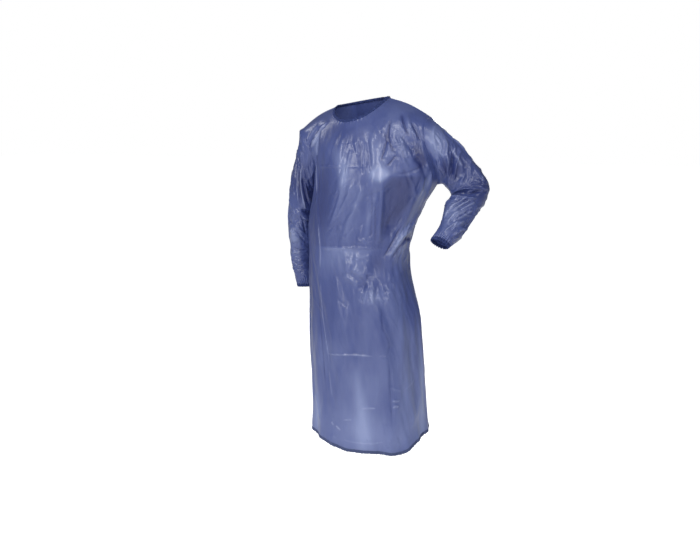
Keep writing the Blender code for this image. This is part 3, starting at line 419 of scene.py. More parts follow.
# Painted light and shade in the film's colour: paler patches are painted sheen, highlights and
# light through the film, and deeper ones are painted shade in hollows, under the arms and on sides
# turned from the lights
BODY_PAINTED_LIGHT = (
    (0, -467, 120, 80, 0.6, 1), (125, -515, 30, 40, -0.6), (75, -150, 26, 90, 0.6),
    (77, -207, 22, 19, 2.3), (77, -330, 13, 110, 0.35), (92, -635, 40, 26, 0.6),
    (206, -428, 26, 56, 0.85), (246, -440, 20, 60, 0.5), (-25, -200, 18, 56, 0.95),
    (16, -280, 26, 90, 0.15), (-215, -110, 36, 50, 0.75), (-85, -60, 55, 40, -0.6),
    (190, -50, 60, 40, 0.3), (155, -100, 24, 50, 0.35), (216, -152, 28, 48, -1.7),
    (10, -950, 300, 120, 0.3), (30, -1130, 340, 80, 0.42), (-2, -950, 18, 60, 0.35),
    (4, -1040, 24, 70, 0.65), (6, -1140, 30, 70, 0.8), (-190, -1075, 26, 80, 0.95),
    (268, -960, 16, 120, 0.6), (250, -1090, 24, 70, 0.7), (158, -212, 54, 240, -1, 1),
    (-112, -310, 44, 130, -0.95), (252, -262, 36, 50, 0.95), (240, -340, 24, 60, 0.45),
    (-10, -75, 60, 40, -0.1), (180, -720, 70, 120, 0.32), (190, -1000, 50, 140, 0.28),
    (-100, -700, 50, 120, -0.1), (-200, -640, 36, 150, -0.5), (-180, -330, 36, 170, -0.6),
    (235, -690, 35, 90, -0.45), (-50, -150, 30, 40, 0.35), (460, -560, 120, 90, 0.35),
    (-460, -540, 120, 90, 0.35), (480, -1060, 160, 140, 0.5), (-480, -1060, 160, 140, 0.5),
    (420, -330, 90, 120, -0.35), (-420, -330, 90, 120, -0.35), (400, -740, 100, 160, -0.2),
    (-420, -760, 100, 160, -0.2),
)
# Painted highlights and painted shade on the sleeves, as patches of the same kind
SLEEVE_PAINTED_LIGHT = {
    "left": (
        (52, 6.5, 34, 4.5, 1), (75, 11, 14, 2.4, 0.6), (96, 14, 26, 6, -0.9),
        (80, 27, 50, 8, -1.1), (20, 50, 80, 12, -0.95), (95, 80, 40, 13, 0.55),
        (20, 78, 30, 16, -0.6),
    ),
    "right": (
        (85, 22, 60, 11, -1.1), (130, 40, 30, 20, -0.8), (70, 63, 40, 6, 0.65),
        (75, 78, 40, 8, 0.3), (110, 85, 40, 12, -0.3), (40, 20, 60, 12, -0.3),
    ),
}
# Painted light along creases: they are painted paler where they stand out, as a painted highlight,
# and deeper in tone where they go in, as painted shade, up to this height
PAINTED_LIGHT_WITH_HEIGHT, DEEPEST_TONE = 52.0, 0.006

# Where the film is finely crinkled
BODY_CRINKLES = (
    (-230, -110, 80, 90, 0.75), (230, -120, 90, 100, 0.75), (100, -620, 70, 50, 0.5),
    (200, -440, 70, 60, 0.5), (30, -520, 80, 30, 0.25), (120, -130, 40, 50, 0.35),
    (450, -100, 120, 110, 0.6), (-450, -100, 120, 110, 0.6), (450, -470, 150, 70, 0.6),
    (-450, -470, 150, 70, 0.6), (0, -1150, 500, 30, 0.3),
)
BODY_CRINKLE, SLEEVE_CRINKLE = 0.10, 0.60

# Low waves of the whole film: length round and along, and depth. The yoke is calmer.
FILM_WAVES = ((0.075, 0.260, 0.0012), (0.036, 0.140, 0.0006), (0.022, 0.090, 0.00015))
WAVES_IN_EACH = 9
YOKE_CALM, YOKE_CALM_FROM, YOKE_CALM_FADE = 0.85, 1.25, 0.4

# Gathers of the elastic, flutes of the hem, and how far the waist tapes press in and pull
NECK_GATHERS, NECK_GATHER_DEPTH, NECK_GATHER_REACH, NECK_GATHER_FADE = 46, 0.0009, 0.020, 0.06
YOKE_LENGTH = 0.27
CUFF_GATHERS, CUFF_GATHER_DEPTH, CUFF_GATHER_REACH = 24, 0.0020, 0.034
HEM_FLUTE_DEPTH, HEM_FLUTE_REACH = 0.0036, 0.130
HEM_FLUTES = (0.083, 0.147, 0.056)
BACK_HALF_GIRTH = 0.610
TAPE_GATHER_LENGTH, TAPE_GATHER_DEPTH, TAPE_GATHER_REACH = 0.034, 0.0022, 0.16
TAPE_GATHERS_FROM, TAPE_GATHERS_FULL = (0.20, 0.008), (0.05, 0.02)
UNDER_TAPE, UNDER_TAPE_REACH, UNDER_TAPE_FADE = 0.06, 0.010, 0.030

# Lights: azimuth from the camera's, elevation, distance, width and height
LIGHT_AIM = (0.0, 0.0, -0.55)
LIGHTS = {
    "key_light": (-0.70, 0.30, 3.8, 0.45, 2.4),
    "front_light": (-0.02, 0.30, 4.2, 0.90, 2.0),
    "left_light": (-2.00, 0.56, 3.6, 0.70, 1.6),
    "top_light": (-0.10, 0.88, 3.4, 0.9, 0.9),
    "right_light": (0.62, 0.60, 3.8, 0.60, 1.4),
    "back_light": (2.9, 0.30, 3.8, 0.90, 2.3),
}
SHARES_OF_FILL = {"front_light": 1.6, "left_light": 0.9, "top_light": 1.0, "right_light": 0.8,
                  "back_light": 2.0}
CAMERA_LENS, CAMERA_DROP, CAMERA_SHIFT = 47.1, 0.03, 0.0426


def unit(vectors):
    length = np.linalg.norm(vectors, axis=-1, keepdims=True)
    return vectors / np.maximum(length, 1e-12)


def ease(share):
    share = np.clip(share, 0.0, 1.0)
    return share * share * (3.0 - 2.0 * share)


def wrapped(angle):
    return (angle + 180.0) % 360.0 - 180.0


def outward(angle):
    return np.stack([np.sin(np.radians(angle)), -np.cos(np.radians(angle)), 0.0 * angle], axis=-1)


def curve_between(share, start, end, leaving, arriving):
    """A smooth curve between two points, with the slopes that it leaves and arrives with."""
    weight = 2 * share**3 - 3 * share**2 + 1
    return (weight * start + (1 - weight) * end + (share**3 - 2 * share**2 + share) * leaving
            + (share**3 - share**2) * arriving)


def curve_through(knots, values, at):
    """A smooth curve through one row of values at each knot, read at the places given."""
    knots, values = np.asarray(knots, float), np.asarray(values, float)
    slopes = np.gradient(values, knots, axis=0)
    at = np.clip(at, knots[0], knots[-1])
    low = np.clip(np.searchsorted(knots, at) - 1, 0, len(knots) - 2)
    more = (...,) + (None,) * (values.ndim - 1)
    span = (knots[low + 1] - knots[low])[more]
    return curve_between((at - knots[low])[more] / span, values[low], values[low + 1],
                         span * slopes[low], span * slopes[low + 1])


def along_run(points, closed=False, axis=0):
    """The way along each line of points."""
    if closed:
        return np.roll(points, -1, axis=axis) - np.roll(points, 1, axis=axis)
    return np.gradient(points, axis=axis)


def body_ring(angle, height):
    """Points of the body's cross-section, from its table."""
    rows = np.array(BODY_SECTIONS[::-1]) / (MM, MM, MM, MM, MM, MM, 1.0)
    sizes = curve_through(rows[:, 0], rows, height)
    _, middle, left_half, right_half, in_front, behind, turn = np.moveaxis(sizes, -1, 0)
    side, ahead = np.sin(np.radians(angle)), np.cos(np.radians(angle))
    power = BODY_SQUARENESS
    reach = (np.abs(side)**power + np.abs(ahead)**power)**(-1.0 / power)
    x = np.where(side > 0, left_half, right_half) * side * reach
    y = -np.where(ahead > 0, in_front, behind) * ahead * reach
    turn = np.radians(turn)
    return np.stack([middle + x * np.cos(turn) - y * np.sin(turn),
                     x * np.sin(turn) + y * np.cos(turn), height + 0.0 * x], axis=-1)


def hem_height(angle):
    """The height of the film's lower edge, all round."""
    hem = np.array(HEM) / (1.0, MM)
    return curve_through(hem[:, 0], hem[:, 1:], wrapped(angle))[..., 0]


def seam_share(angle, is_back):
    """-1 at the right side seam, 0 at the centre of the front or the back, 1 at the left one."""
    across = np.abs(wrapped(angle))
    share = (180.0 - across) / (180.0 - SIDE_SEAM) if is_back else across / SIDE_SEAM
    return share * np.where(wrapped(angle) < 0, -1.0, 1.0)


def top_edge(share, is_back):
    """The neckline and the shoulder seams, with the way that the film runs as it meets them."""
    neck_right, neck_left = np.array(NECK_RIGHT), np.array(NECK_LEFT)
    along = np.clip(share / NECK_SHARE, -1.0, 1.0)
    side = np.sin(np.radians(90.0 * along))[..., None]
    ahead = np.cos(np.radians(90.0 * along))
    neck = 0.5 * (neck_right + neck_left) + 0.5 * (neck_left - neck_right) * side
    neck[..., 1] += (NECK_BACK_REACH if is_back else -NECK_FRONT_REACH) * ahead
    neck[..., 2] += (NECK_BACK_RISE if is_back else -NECK_FRONT_DROP) * ahead**NECK_DROP_POWER
    down_seam = np.clip((np.abs(share) - NECK_SHARE) / (1.0 - NECK_SHARE), 0.0, 1.0)[..., None]
    is_left = (share > 0)[..., None]
    corner = np.where(is_left, neck_left, neck_right)
    tip = np.where(is_left, np.array(SHOULDER_LEFT), np.array(SHOULDER_RIGHT))
    seam = corner + (tip - corner) * down_seam
    seam[..., 2] += SHOULDER_CROWN * np.sin(np.pi * down_seam[..., 0])
    inward = -LEAN_IN * side[..., 0] * (1.0 - down_seam[..., 0])
    level = (1.0 - LEAN_FLATTER_AT_NECK * ahead) * (-1.0 if is_back else 1.0)
    lean = np.stack([inward, level, LEAN_UP + LEAN_UP_AT_NECK * ahead], axis=-1)
    return np.where(down_seam > 0.0, seam, neck), unit(lean)


def row_height(angle, level):
    """Height of a row below the armpits: evenly spread, but level along the waist tapes."""
    hem = hem_height(angle)
    tape_low, tape_high = WAIST_HEIGHT - TAPE_WIDTH / 2, WAIST_HEIGHT + TAPE_WIDTH / 2
    low, high = WAIST_ROW / SKIRT_ROWS, (WAIST_ROW + 1) / SKIRT_ROWS
    below = hem + (tape_low - hem) * level / low
    above = tape_high + (ARMPIT_HEIGHT - tape_high) * (level - high) / (1.0 - high)
    between = tape_low + (tape_high - tape_low) * (level - low) / (high - low)
    return np.where(level < low, below, np.where(level > high, above, between))


def body_form(angle, level, is_back):
    """The outer face of the body film without its folds: level 0 hem, 1 armpits, 2 top edge."""
    low = body_ring(angle, row_height(angle, np.clip(level, 0.0, 1.0)))
    share = seam_share(angle, is_back)
    rise = np.clip(level - 1.0, 0.0, 1.0)[..., None]
    top, lean = top_edge(share, is_back)
    base = body_ring(angle, ARMPIT_HEIGHT + 0.0 * angle)
    slope = (base - body_ring(angle, ARMPIT_HEIGHT - SLOPE_STEP + 0.0 * angle)) / SLOPE_STEP
    span = np.linalg.norm(top - base, axis=-1, keepdims=True)
    yoke = curve_between(rise, base, top, slope * span * ARMPIT_HOLD, lean * span * TOP_HOLD)
    swell = np.sin(np.pi * rise[..., 0])
    by_edge = np.abs(share)**ARMHOLE_WIDTH_POWER
    reach = ARMHOLE_REACH * swell**ARMHOLE_REACH_POWER * by_edge
    yoke[..., 0] -= np.sign(share) * ARMHOLE_INSET * swell**ARMHOLE_INSET_POWER * by_edge
    yoke[..., 1] += reach if is_back else -reach
    return np.where(rise > 0, yoke, low)


def settle(points):
    """Evens out the yoke between its edges, as film does that is held only at its seams."""
    rows = np.arange(1, len(points) - 1)
    share = SETTLE_SHARE * ease((rows - SKIRT_ROWS + SETTLE_ROWS) / SETTLE_ROWS)[:, None, None]
    for _ in range(SETTLE_ROUNDS):
        middle = (points[:-2, 1:-1] + points[2:, 1:-1] + points[1:-1, :-2] + points[1:-1, 2:]) / 4
        points[1:-1, 1:-1] += share * (middle - points[1:-1, 1:-1])
    return points


def fold_sum(around, along, table, units, scale):
    """Sum of the large soft folds of one table, each along a straight line."""
    total = np.zeros(np.broadcast(around, along).shape)
    for *ends, half_width, depth in table:
        start, end = np.reshape(ends, (2, 2)) / units
        run_x, run_y = (end - start) * scale
        length = math.hypot(run_x, run_y)
        for turn in (-360.0, 0.0, 360.0):
            offset_x = (around - start[0] - turn) * scale[0]
            offset_y = (along - start[1]) * scale[1]
            share = (offset_x * run_x + offset_y * run_y) / length**2
            away = (offset_x * run_y - offset_y * run_x) / length
            fade = ease((share + FOLD_OVERRUN) / FOLD_FADE)
            fade *= ease((1.0 + FOLD_OVERRUN - share) / FOLD_FADE)
            total += depth / MM * np.exp(-(away * MM / half_width)**2) * fade
    return total


def creases_of(table, units):
    """Each crease of a table: half width, depth, sharpness, lean, and its path as points."""
    return [(row[0] / MM, row[1] / MM, row[2], row[3], np.reshape(row[4:], (-1, 2)) / units)
            for row in table]


def patch_creases(patches, seed, units, scale=(1.0, 1.0)):
    """The small creases of each crumpled patch, uneven in place, length, way and depth."""
    chance = np.random.default_rng(seed)
    creases = []
    for *places, lie, length, width, depth, count in patches:
        middle, half_size = np.reshape(places, (2, 2)) / units
        for _ in range(count):
            centre = middle + half_size * chance.uniform(-1, 1, 2)
            way = math.radians(lie + chance.normal(0.0, 26.0))
            half = 0.5 * length / MM * chance.uniform(0.5, 1.5)
            run = np.array((math.cos(way), math.sin(way))) * half / scale
            bend = chance.normal(0.0, 0.2) * half
            bend = bend * np.array((-math.sin(way), math.cos(way))) / scale
            size = depth / MM * chance.uniform(0.5, 1.3) * (1.0 if chance.random() < 0.62 else -1.0)
            creases.append((width / MM * chance.uniform(0.7, 1.4), size, chance.uniform(0.1, 0.72),
                            chance.uniform(-0.3, 0.3), (centre - run, centre + bend, centre + run)))
    return creases


def smooth_path(path):
    """A path with more points, curved through the ones given."""
    path = np.array(path, float)
    steps = np.concatenate([[0.0], np.cumsum(np.linalg.norm(np.diff(path, axis=0), axis=1))])
    return curve_through(steps, path, np.linspace(0.0, steps[-1], 3 * (len(path) - 1) + 1))


def crease_sum(across, up, creases, scale=(1.0, 1.0)):
    """Height that creases add to the plain form, and how strong their folded lines are."""
    total = np.zeros((2,) + across.shape)
    across, up = across * scale[0], up * scale[1]
    for half_width, depth, sharpness, lean, path in creases:
        path = smooth_path(path) * scale
        low, high = path.min(axis=0) - 4.0 * half_width, path.max(axis=0) + 4.0 * half_width
        near = (across > low[0]) & (across < high[0]) & (up > low[1]) & (up < high[1])
        if not near.any():
            continue
        spots = np.stack([across[near], up[near]], axis=-1)
        gap = np.full(len(spots), np.inf)
        side, place = np.zeros(len(spots)), np.zeros(len(spots))
        start = 0.0
        for first, second in zip(path[:-1], path[1:]):
            span = float(np.linalg.norm(second - first))
            run = (second - first) / span
            offset = spots - first
            on_run = np.clip(offset @ run, 0.0, span)
            away = np.linalg.norm(offset - on_run[:, None] * run, axis=1)
            nearer = away < gap
            gap = np.where(nearer, away, gap)
            side = np.where(nearer, offset[:, 0] * run[1] - offset[:, 1] * run[0], side)
            place = np.where(nearer, start + on_run, place)
            start += span
        fade = ease(place / start / CREASE_FADE) * ease((1.0 - place / start) / CREASE_FADE)
        ratio = gap / half_width
        soft = np.exp(-ratio**2)
        steep = lean * np.clip(side / half_width, -2.0, 2.0) * soft
        shape = (1.0 - sharpness) * soft + sharpness * np.exp(-FOLDED_FALL * ratio) + steep
        line = max(0.0, 2.0 * sharpness - 1.0) * np.exp(-LINE_FALL * ratio)
        total[0][near] += depth * shape * fade
        total[1][near] += depth * line * fade
    return total


def film_waves(around, along, seed, strength=1.0):
    """Low uneven waves that thin film keeps wherever it hangs free."""
    chance = np.random.default_rng(seed)
    total = np.zeros(np.broadcast(around, along).shape)
    for length_round, length_along, depth in FILM_WAVES:
        for _ in range(WAVES_IN_EACH):
            turns_x = 2 * math.pi / length_round * chance.uniform(0.5, 1.3) * chance.choice((-1, 1))
            turns_y = 2 * math.pi / length_along * chance.uniform(0.2, 1.3)
            start = chance.uniform(0.0, 2 * math.pi)
            total += depth / math.sqrt(WAVES_IN_EACH) * np.sin(turns_x * around + turns_y * along
                                                               + start)
    return total * strength


def patch_sum(across, up, table, unit_along=MM):
    """Sum of soft patches, each strongest at its middle."""
    total = np.zeros(np.broadcast(across, up).shape)
    for around, along, half_around, half_along, strength, *ends_here in table:
        along, half_along = along / unit_along, half_along / unit_along
        soft = np.exp(-((across - around / MM) / (half_around / MM))**2
                      - ((up - along) / half_along)**2)
        total += strength * soft * (ease((along - up) / TONE_EDGE + 0.5) if ends_here else 1.0)
    return total


class Film:
    """One cut of film: a fine grid of points, with its looks and its coarse form."""

    def __init__(self, points, form=None, looks=None, closed=False):
        self.points = points
        self.form = form
        self.looks = looks
        self.closed = closed

    def normals(self):
        normals = unit(np.cross(along_run(self.points, self.closed, 1), along_run(self.points)))
        middle = self.points.mean(axis=1, keepdims=True) if self.closed else (0.0, 0.0, 1.0)
        flat = np.array([1.0, 1.0, 1.0 if self.closed else 0.0])
        facing = np.sum(normals * (self.points - middle) * flat)
        return normals if facing > 0 else -normals

    def part(self, columns):
        """A cut of its own from some of the columns."""
        looks = {name: values[:, columns] for name, values in self.looks.items()}
        return Film(self.points[:, columns].copy(), self.form, looks)


def finer(points, rows, columns, closed=False):
    """A grid read between its rows and columns, on smooth curves through its points."""
    knots = np.arange(points.shape[1])
    if closed:
        points = np.concatenate([points[:, -3:], points, points[:, :4]], axis=1)
        knots = np.arange(-3, len(knots) + 4)
    across = curve_through(knots, points.transpose(1, 0, 2), columns)
    return curve_through(np.arange(points.shape[0]), across.transpose(1, 0, 2), rows)


def clear_of_seams(level, share, near_armhole, near_top, near_armpit):
    """1 in the open cloth, and 0 at the armholes and the shoulder seams, which stay in place."""
    in_yoke = np.clip(level - 1.0, 0.0, 1.0)
    by_armhole = ease((1.0 - np.abs(share)) / near_armhole)
    by_top = ease((1.0 - in_yoke) / near_top)
    by_armpit = ease((1.0 - np.clip(level, 0.0, 1.0)) / near_armpit)
    return np.where(level > 1.0, by_armhole * by_top, np.maximum(by_armhole, by_armpit))


def pressed_by_tapes(depth, around, height):
    """The back's relief, flattened under the waist tapes and gathered beside them."""
    off_tape = np.abs(height - WAIST_HEIGHT)
    by_centre = ease((np.abs(around) - TAPE_GATHERS_FROM[0]) / TAPE_GATHERS_FULL[0])
    gathers = np.sin(2 * np.pi * around / TAPE_GATHER_LENGTH + 2.0 * np.sin(around / 0.05))
    pull = ease((off_tape - TAPE_GATHERS_FROM[1]) / TAPE_GATHERS_FULL[1])
    pull *= ease((TAPE_GATHER_REACH - off_tape) / 0.14)
    free = UNDER_TAPE + (1.0 - UNDER_TAPE) * ease((off_tape - UNDER_TAPE_REACH) / UNDER_TAPE_FADE)
    return depth * free + TAPE_GATHER_DEPTH * gathers * pull * by_centre


def neck_gathers(level, share):
    """Small ripples that the neck elastic draws into the film."""
    from_top = (2.0 - level) / (NECK_GATHER_REACH / YOKE_LENGTH)
    ripple = np.sin(2 * np.pi * NECK_GATHERS * share / 2 + 1.7 * np.sin(9.0 * share))
    by_corner = ease((NECK_SHARE - np.abs(share)) / NECK_GATHER_FADE)
    return NECK_GATHER_DEPTH * ripple * ease(1.0 - from_top) * by_corner


def hem_flutes(angle, around, height, is_back):
    """Slow waves of the free lower edge."""
    flutes = sum(np.sin(2 * np.pi * around / length + 1.3 * index + 1.5 * np.sin(around / 0.07))
                 for index, length in enumerate(HEM_FLUTES)) / 2.0
    if is_back:
        flutes *= ease((BACK_HALF_GIRTH - np.abs(around)) / 0.06)
    above_hem = height - hem_height(angle + 0.0 * height)
    return HEM_FLUTE_DEPTH * flutes * ease(1.0 - above_hem / HEM_FLUTE_REACH)**2


def yoke_rows():
    return np.arange(YOKE_ROWS * YOKE_STEPS + 1) / YOKE_STEPS


def body_film(is_back, small):
    """The front, or the whole back, with every fold and crease."""
    levels = np.concatenate([np.linspace(0.0, 1.0, SKIRT_ROWS + 1)[:-1],
                             1.0 + np.linspace(0.0, 1.0, YOKE_ROWS + 1)])
    rows = np.concatenate([np.arange(ARMPIT) / SKIRT_STEPS, SKIRT_ROWS + yoke_rows()])
    level = np.interp(rows, np.arange(len(levels)), levels)[:, None]
    start, end = (SIDE_SEAM, 360.0 - SIDE_SEAM) if is_back else (-SIDE_SEAM, SIDE_SEAM)
    form = settle(body_form(*np.meshgrid(np.linspace(start, end, 2 * HALF_STEPS + 1), levels),
                            is_back))
    per_column = BACK_STEPS if is_back else FRONT_STEPS
    columns = np.arange(2 * HALF_STEPS * per_column + 1) / per_column
    points = finer(form, rows, columns)
    angle = (start + (end - start) * columns / (2 * HALF_STEPS))[None]
    share = seam_share(angle, is_back)
    height = points[..., 2]
    around = wrapped(angle) * METRES_PER_DEGREE + 0.0 * height
    folds = fold_sum(angle, height, BODY_FOLDS, (1.0, MM), (METRES_PER_DEGREE, 1.0))
    folds *= clear_of_seams(level, share, *FOLDS_CLEAR)
    points = points + outward(angle) * folds[..., None]
    out = outward(angle) + 0.0 * points if is_back else Film(points).normals()
    depth, lines = crease_sum(around, height, creases_of(SIDE_CREASES, ON_BODY) + small)
    if not is_back:
        by_side = ease((1.0 - np.abs(share)) / FRONT_CREASES_CLEAR)
        extra = crease_sum(points[..., 0], height, creases_of(FRONT_CREASES, ON_BODY))
        depth, lines = np.stack([depth, lines]) + extra * by_side * FRONT_RELIEF
    relief = np.clip(depth, -DEEPEST_TONE, DEEPEST_TONE)
    calm = 1.0 - YOKE_CALM * ease((level - YOKE_CALM_FROM) / YOKE_CALM_FADE)
    depth = (depth + film_waves(around, height, 5) * calm
             + patch_sum(around, height, BODY_BULGES) / MM)
    if is_back:
        depth = pressed_by_tapes(depth, around, height)
    keep = clear_of_seams(level, share, *CREASES_CLEAR)
    depth = depth * keep + neck_gathers(level, share) + hem_flutes(angle, around, height, is_back)
    crinkle = np.clip(BODY_CRINKLE + patch_sum(around, height, BODY_CRINKLES), 0.0, 1.0)
    # Painted light and shade: the patches of painted highlight and shade, and creases painted paler
    # on top and deeper in their hollows
    painted_light = patch_sum(around, height, BODY_PAINTED_LIGHT) + PAINTED_LIGHT_WITH_HEIGHT * relief
    # The fold lines carry painted highlight and painted shade into the material as well
    looks = {"lines": lines * keep * MM, "painted_light": painted_light, "crinkle": crinkle}
    return Film(points + out * depth[..., None], form, looks)


def body_films():
    """The front and both backs. The left back laps over the right one."""
    small = patch_creases(BODY_PATCHES, 11, ON_BODY)
    front, back = body_film(False, small), body_film(True, small)
    last = (HALF_STEPS + LAP_COLUMNS) * BACK_STEPS
    left = back.part(slice(0, last + 1))
    right = back.part(slice((HALF_STEPS - LAP_COLUMNS) * BACK_STEPS, None))
    column = np.arange(last + 1) / BACK_STEPS
    lap = (column - NECK_STEPS) / (SHOULDER_STEPS - LAP_COLUMNS - 1)
    angle = SIDE_SEAM + (180.0 - SIDE_SEAM) * column / HALF_STEPS
    left.points += outward(angle) * LAP_OFFSET * ease(lap)[:, None]
    return front, left, right


def clear_of_ends(share, near_armhole, near_cuff):
    """1 along a sleeve, and 0 at its armhole and its cuff."""
    return ease(share / near_armhole) * ease((1.0 - share) / near_cuff)


def sleeve_rings(armhole, side):
    """The sleeve's sections as rings of points, from the armhole to the cuff."""
    section = np.array(SLEEVE_SECTIONS[side]) / MM
    outer, inner, half_depth = section[:, :3], section[:, 3:6], section[:, 6:]
    centre = (outer + inner) / 2
    run = np.gradient(np.vstack([armhole.mean(axis=0), centre]), axis=0)[1:]
    forward = unit(np.cross(run, outer - inner))
    forward = forward * -np.sign(forward[0, 1])
    around = np.radians(180.0 - 180.0 * np.arange(2 * YOKE_ROWS) / YOKE_ROWS)[None, :, None]
    rings = (centre[:, None] + (outer - inner)[:, None] / 2 * np.cos(around)
             + (forward * half_depth)[:, None] * np.sin(around))
    return np.concatenate([armhole[None], rings])


def sleeve_film(front, back, side):
    """A sleeve from the armhole's own points, through the table's sections, to the cuff."""
    yoke = slice(SKIRT_ROWS, None)
    edge, back_edge = (-1, 0) if side == "left" else (0, -1)
    armhole = np.concatenate([front.form[yoke, edge], back.form[yoke, back_edge][-2:0:-1]])
    rings = sleeve_rings(armhole, side)
    spans = np.linalg.norm(np.diff(rings, axis=0), axis=-1).mean(axis=1)
    knots = np.concatenate([[0.0], np.cumsum(spans)])
    form = curve_through(knots, rings, np.linspace(0.0, knots[-1], SLEEVE_ROWS + 1))
    rows = np.arange(SLEEVE_ROWS * SLEEVE_ROW_STEPS + 1) / SLEEVE_ROW_STEPS
    columns = np.arange(2 * YOKE_ROWS * SLEEVE_COLUMN_STEPS) / SLEEVE_COLUMN_STEPS
    points = finer(form, rows, columns, closed=True)
    share = (rows / SLEEVE_ROWS)[:, None]
    angle = (180.0 - 180.0 * columns / YOKE_ROWS)[None]
    ring = np.radians(angle)
    film = Film(points, closed=True)
    depth = fold_sum(angle, share, SLEEVE_FOLDS[side], ON_SLEEVE, SLEEVE_SCALE)
    depth *= clear_of_ends(share, 0.15, 0.12)
    film.points = points + film.normals() * depth[..., None]
    grid, down = angle + 0.0 * share, share + 0.0 * angle
    turns = (-360.0, 0.0, 360.0)
    seed = 21 if side == "left" else 31
    creases = (creases_of(SLEEVE_CREASES[side], ON_SLEEVE)
               + patch_creases(SLEEVE_PATCHES[side], seed, ON_SLEEVE, SLEEVE_SCALE))
    fine, lines = sum(crease_sum(grid + turn, down, creases, SLEEVE_SCALE)
                      for turn in turns) * SLEEVE_RELIEF[side]
    relief = np.clip(fine, -DEEPEST_TONE, DEEPEST_TONE)
    by_ends = clear_of_ends(share, 0.04, 0.05)
    fine = fine + film_waves(0.048 * np.sin(ring) + 0.02 * np.cos(2 * ring),
                             share * SLEEVE_LENGTH + 0.03 * np.cos(ring), seed + 1, 1.2)
    spacing = np.linalg.norm(np.gradient(points, axis=0), axis=-1)
    fine *= by_ends * ease(spacing / np.median(spacing) / 0.8)
    from_cuff = (1.0 - share) * SLEEVE_LENGTH / CUFF_GATHER_REACH
    swing = np.sin(CUFF_GATHERS * ring + 1.2 * np.sin(3 * ring) + seed)
    fine += CUFF_GATHER_DEPTH * swing * ease(1.0 - from_cuff)
    film.points = film.points + film.normals() * fine[..., None]
    # Painted light and shade on the sleeve: its patches of painted highlight and shade, and creases
    # painted paler on top and deeper in their hollows
    sleeve_painted_light = sum(patch_sum((grid + turn) * SLEEVE_SCALE[0], down, SLEEVE_PAINTED_LIGHT[side], PERCENT)
                for turn in turns)
    film.looks = {"lines": lines * by_ends * MM, "painted_light": sleeve_painted_light + PAINTED_LIGHT_WITH_HEIGHT * relief,
                  "crinkle": SLEEVE_CRINKLE + 0.0 * grid}
    reach = np.where(columns <= YOKE_ROWS, columns, 2 * YOKE_ROWS - columns)
    exact = np.where((columns <= YOKE_ROWS)[:, None],
                     curve_through(yoke_rows(), front.points[ARMPIT:, edge], reach),
                     curve_through(yoke_rows(), back.points[ARMPIT:, back_edge], reach))
    by_armhole = 1.0 - ease(share * SLEEVE_LENGTH / 0.03)
    film.points += (exact - film.points[0])[None] * by_armhole[..., None]
    return film


FILMS = {}


def films():
    """Every cut of film, worked out once."""
    if not FILMS:
        front, left, right = body_films()
        FILMS.update(front=front, left=left, right=right,
                     sleeve_left=sleeve_film(front, left, "left"),
                     sleeve_right=sleeve_film(front, right, "right"))
    return FILMS


def new_piece(name, points, faces, material, attributes=()):
    """A mesh object that moves with the garment."""
    mesh = bpy.data.meshes.new(name)
    mesh.from_pydata([tuple(point) for point in points.reshape(-1, 3)], [], faces)
    for label, values in attributes:
        layer = mesh.attributes.new(label, "FLOAT", "POINT")
        layer.data.foreach_set("value", np.asarray(values, np.float32).ravel())
    mesh.shade_smooth()
    mesh.materials.append(material)
    piece = bpy.data.objects.new(name, mesh)
    bpy.context.scene.collection.objects.link(piece)
    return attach(piece, BODY)


def grid_faces(rows, columns, closed_rows=False, closed_columns=False):
    """Four-sided faces of a grid, in order of its rows."""
    row = np.arange(rows if closed_rows else rows - 1)[:, None]
    column = np.arange(columns if closed_columns else columns - 1)[None]
    after_row, after_column = (row + 1) % rows, (column + 1) % columns
    corners = np.stack([row * columns + column, row * columns + after_column,
                        after_row * columns + after_column, after_row * columns + column], axis=-1)
    return [tuple(face) for face in corners.reshape(-1, 4).tolist()]


def tube_faces(rings, sides, closed=False):
    """Faces of a tube, with one over each end unless its ends meet."""
    faces = grid_faces(rings, sides, closed_rows=closed, closed_columns=True)
    ends = () if closed else (0, (rings - 1) * sides)
    return faces + [tuple(range(end, end + sides)) for end in ends]


def film_piece(name, film, material):
    rows, columns = film.points.shape[:2]
    faces = grid_faces(rows, columns, closed_columns=film.closed)
    piece = new_piece(name, film.points, faces, material, film.looks.items())
    middle = len(faces) // 2
    out = film.normals().reshape(-1, 3)[faces[middle][0]]
    if np.dot(np.array(piece.data.polygons[middle].normal), out) < 0:
        piece.data.flip_normals()
    return piece


def set_input(tree, socket, value):
    """Links an input to another node's output, or sets it to a value."""
    if isinstance(value, bpy.types.NodeSocket):
        tree.links.new(value, socket)
    else:
        socket.default_value = value


def linked(tree, kind, **inputs):
    """A new node, with its inputs set to values or linked to other nodes' outputs."""
    node = tree.nodes.new(kind)
    for name, value in inputs.items():
        set_input(tree, node.inputs[name.replace("_", " ")], value)
    return node


def mapped(tree, low, high, to_low, to_high, value):
    """A value stretched from one range to another, and kept inside it."""
    node = tree.nodes.new("ShaderNodeMapRange")
    for socket, number in zip(node.inputs, (value, low, high, to_low, to_high)):
        set_input(tree, socket, number)
    return node.outputs[0]


def blended(tree, share, first, second):
    """A colour between two colours."""
    node = tree.nodes.new("ShaderNodeMix")
    node.data_type = "RGBA"
    tree.links.new(share, node.inputs["Factor"])
    for name, colour in (("A", first), ("B", second)):
        is_value = not isinstance(colour, bpy.types.NodeSocket)
        set_input(tree, node.inputs[name], (*colour, 1.0) if is_value else colour)
    return node.outputs["Result"]


def attribute(tree, name):
    node = tree.nodes.new("ShaderNodeAttribute")
    node.attribute_name = name
    return node.outputs["Fac"]


def worked_out(tree, operation, *values):
    """The result of a sum or another operation on values."""
    node = tree.nodes.new("ShaderNodeMath")
    node.operation = operation
    for socket, value in zip(node.inputs, values):
        set_input(tree, socket, value)
    return node.outputs[0]


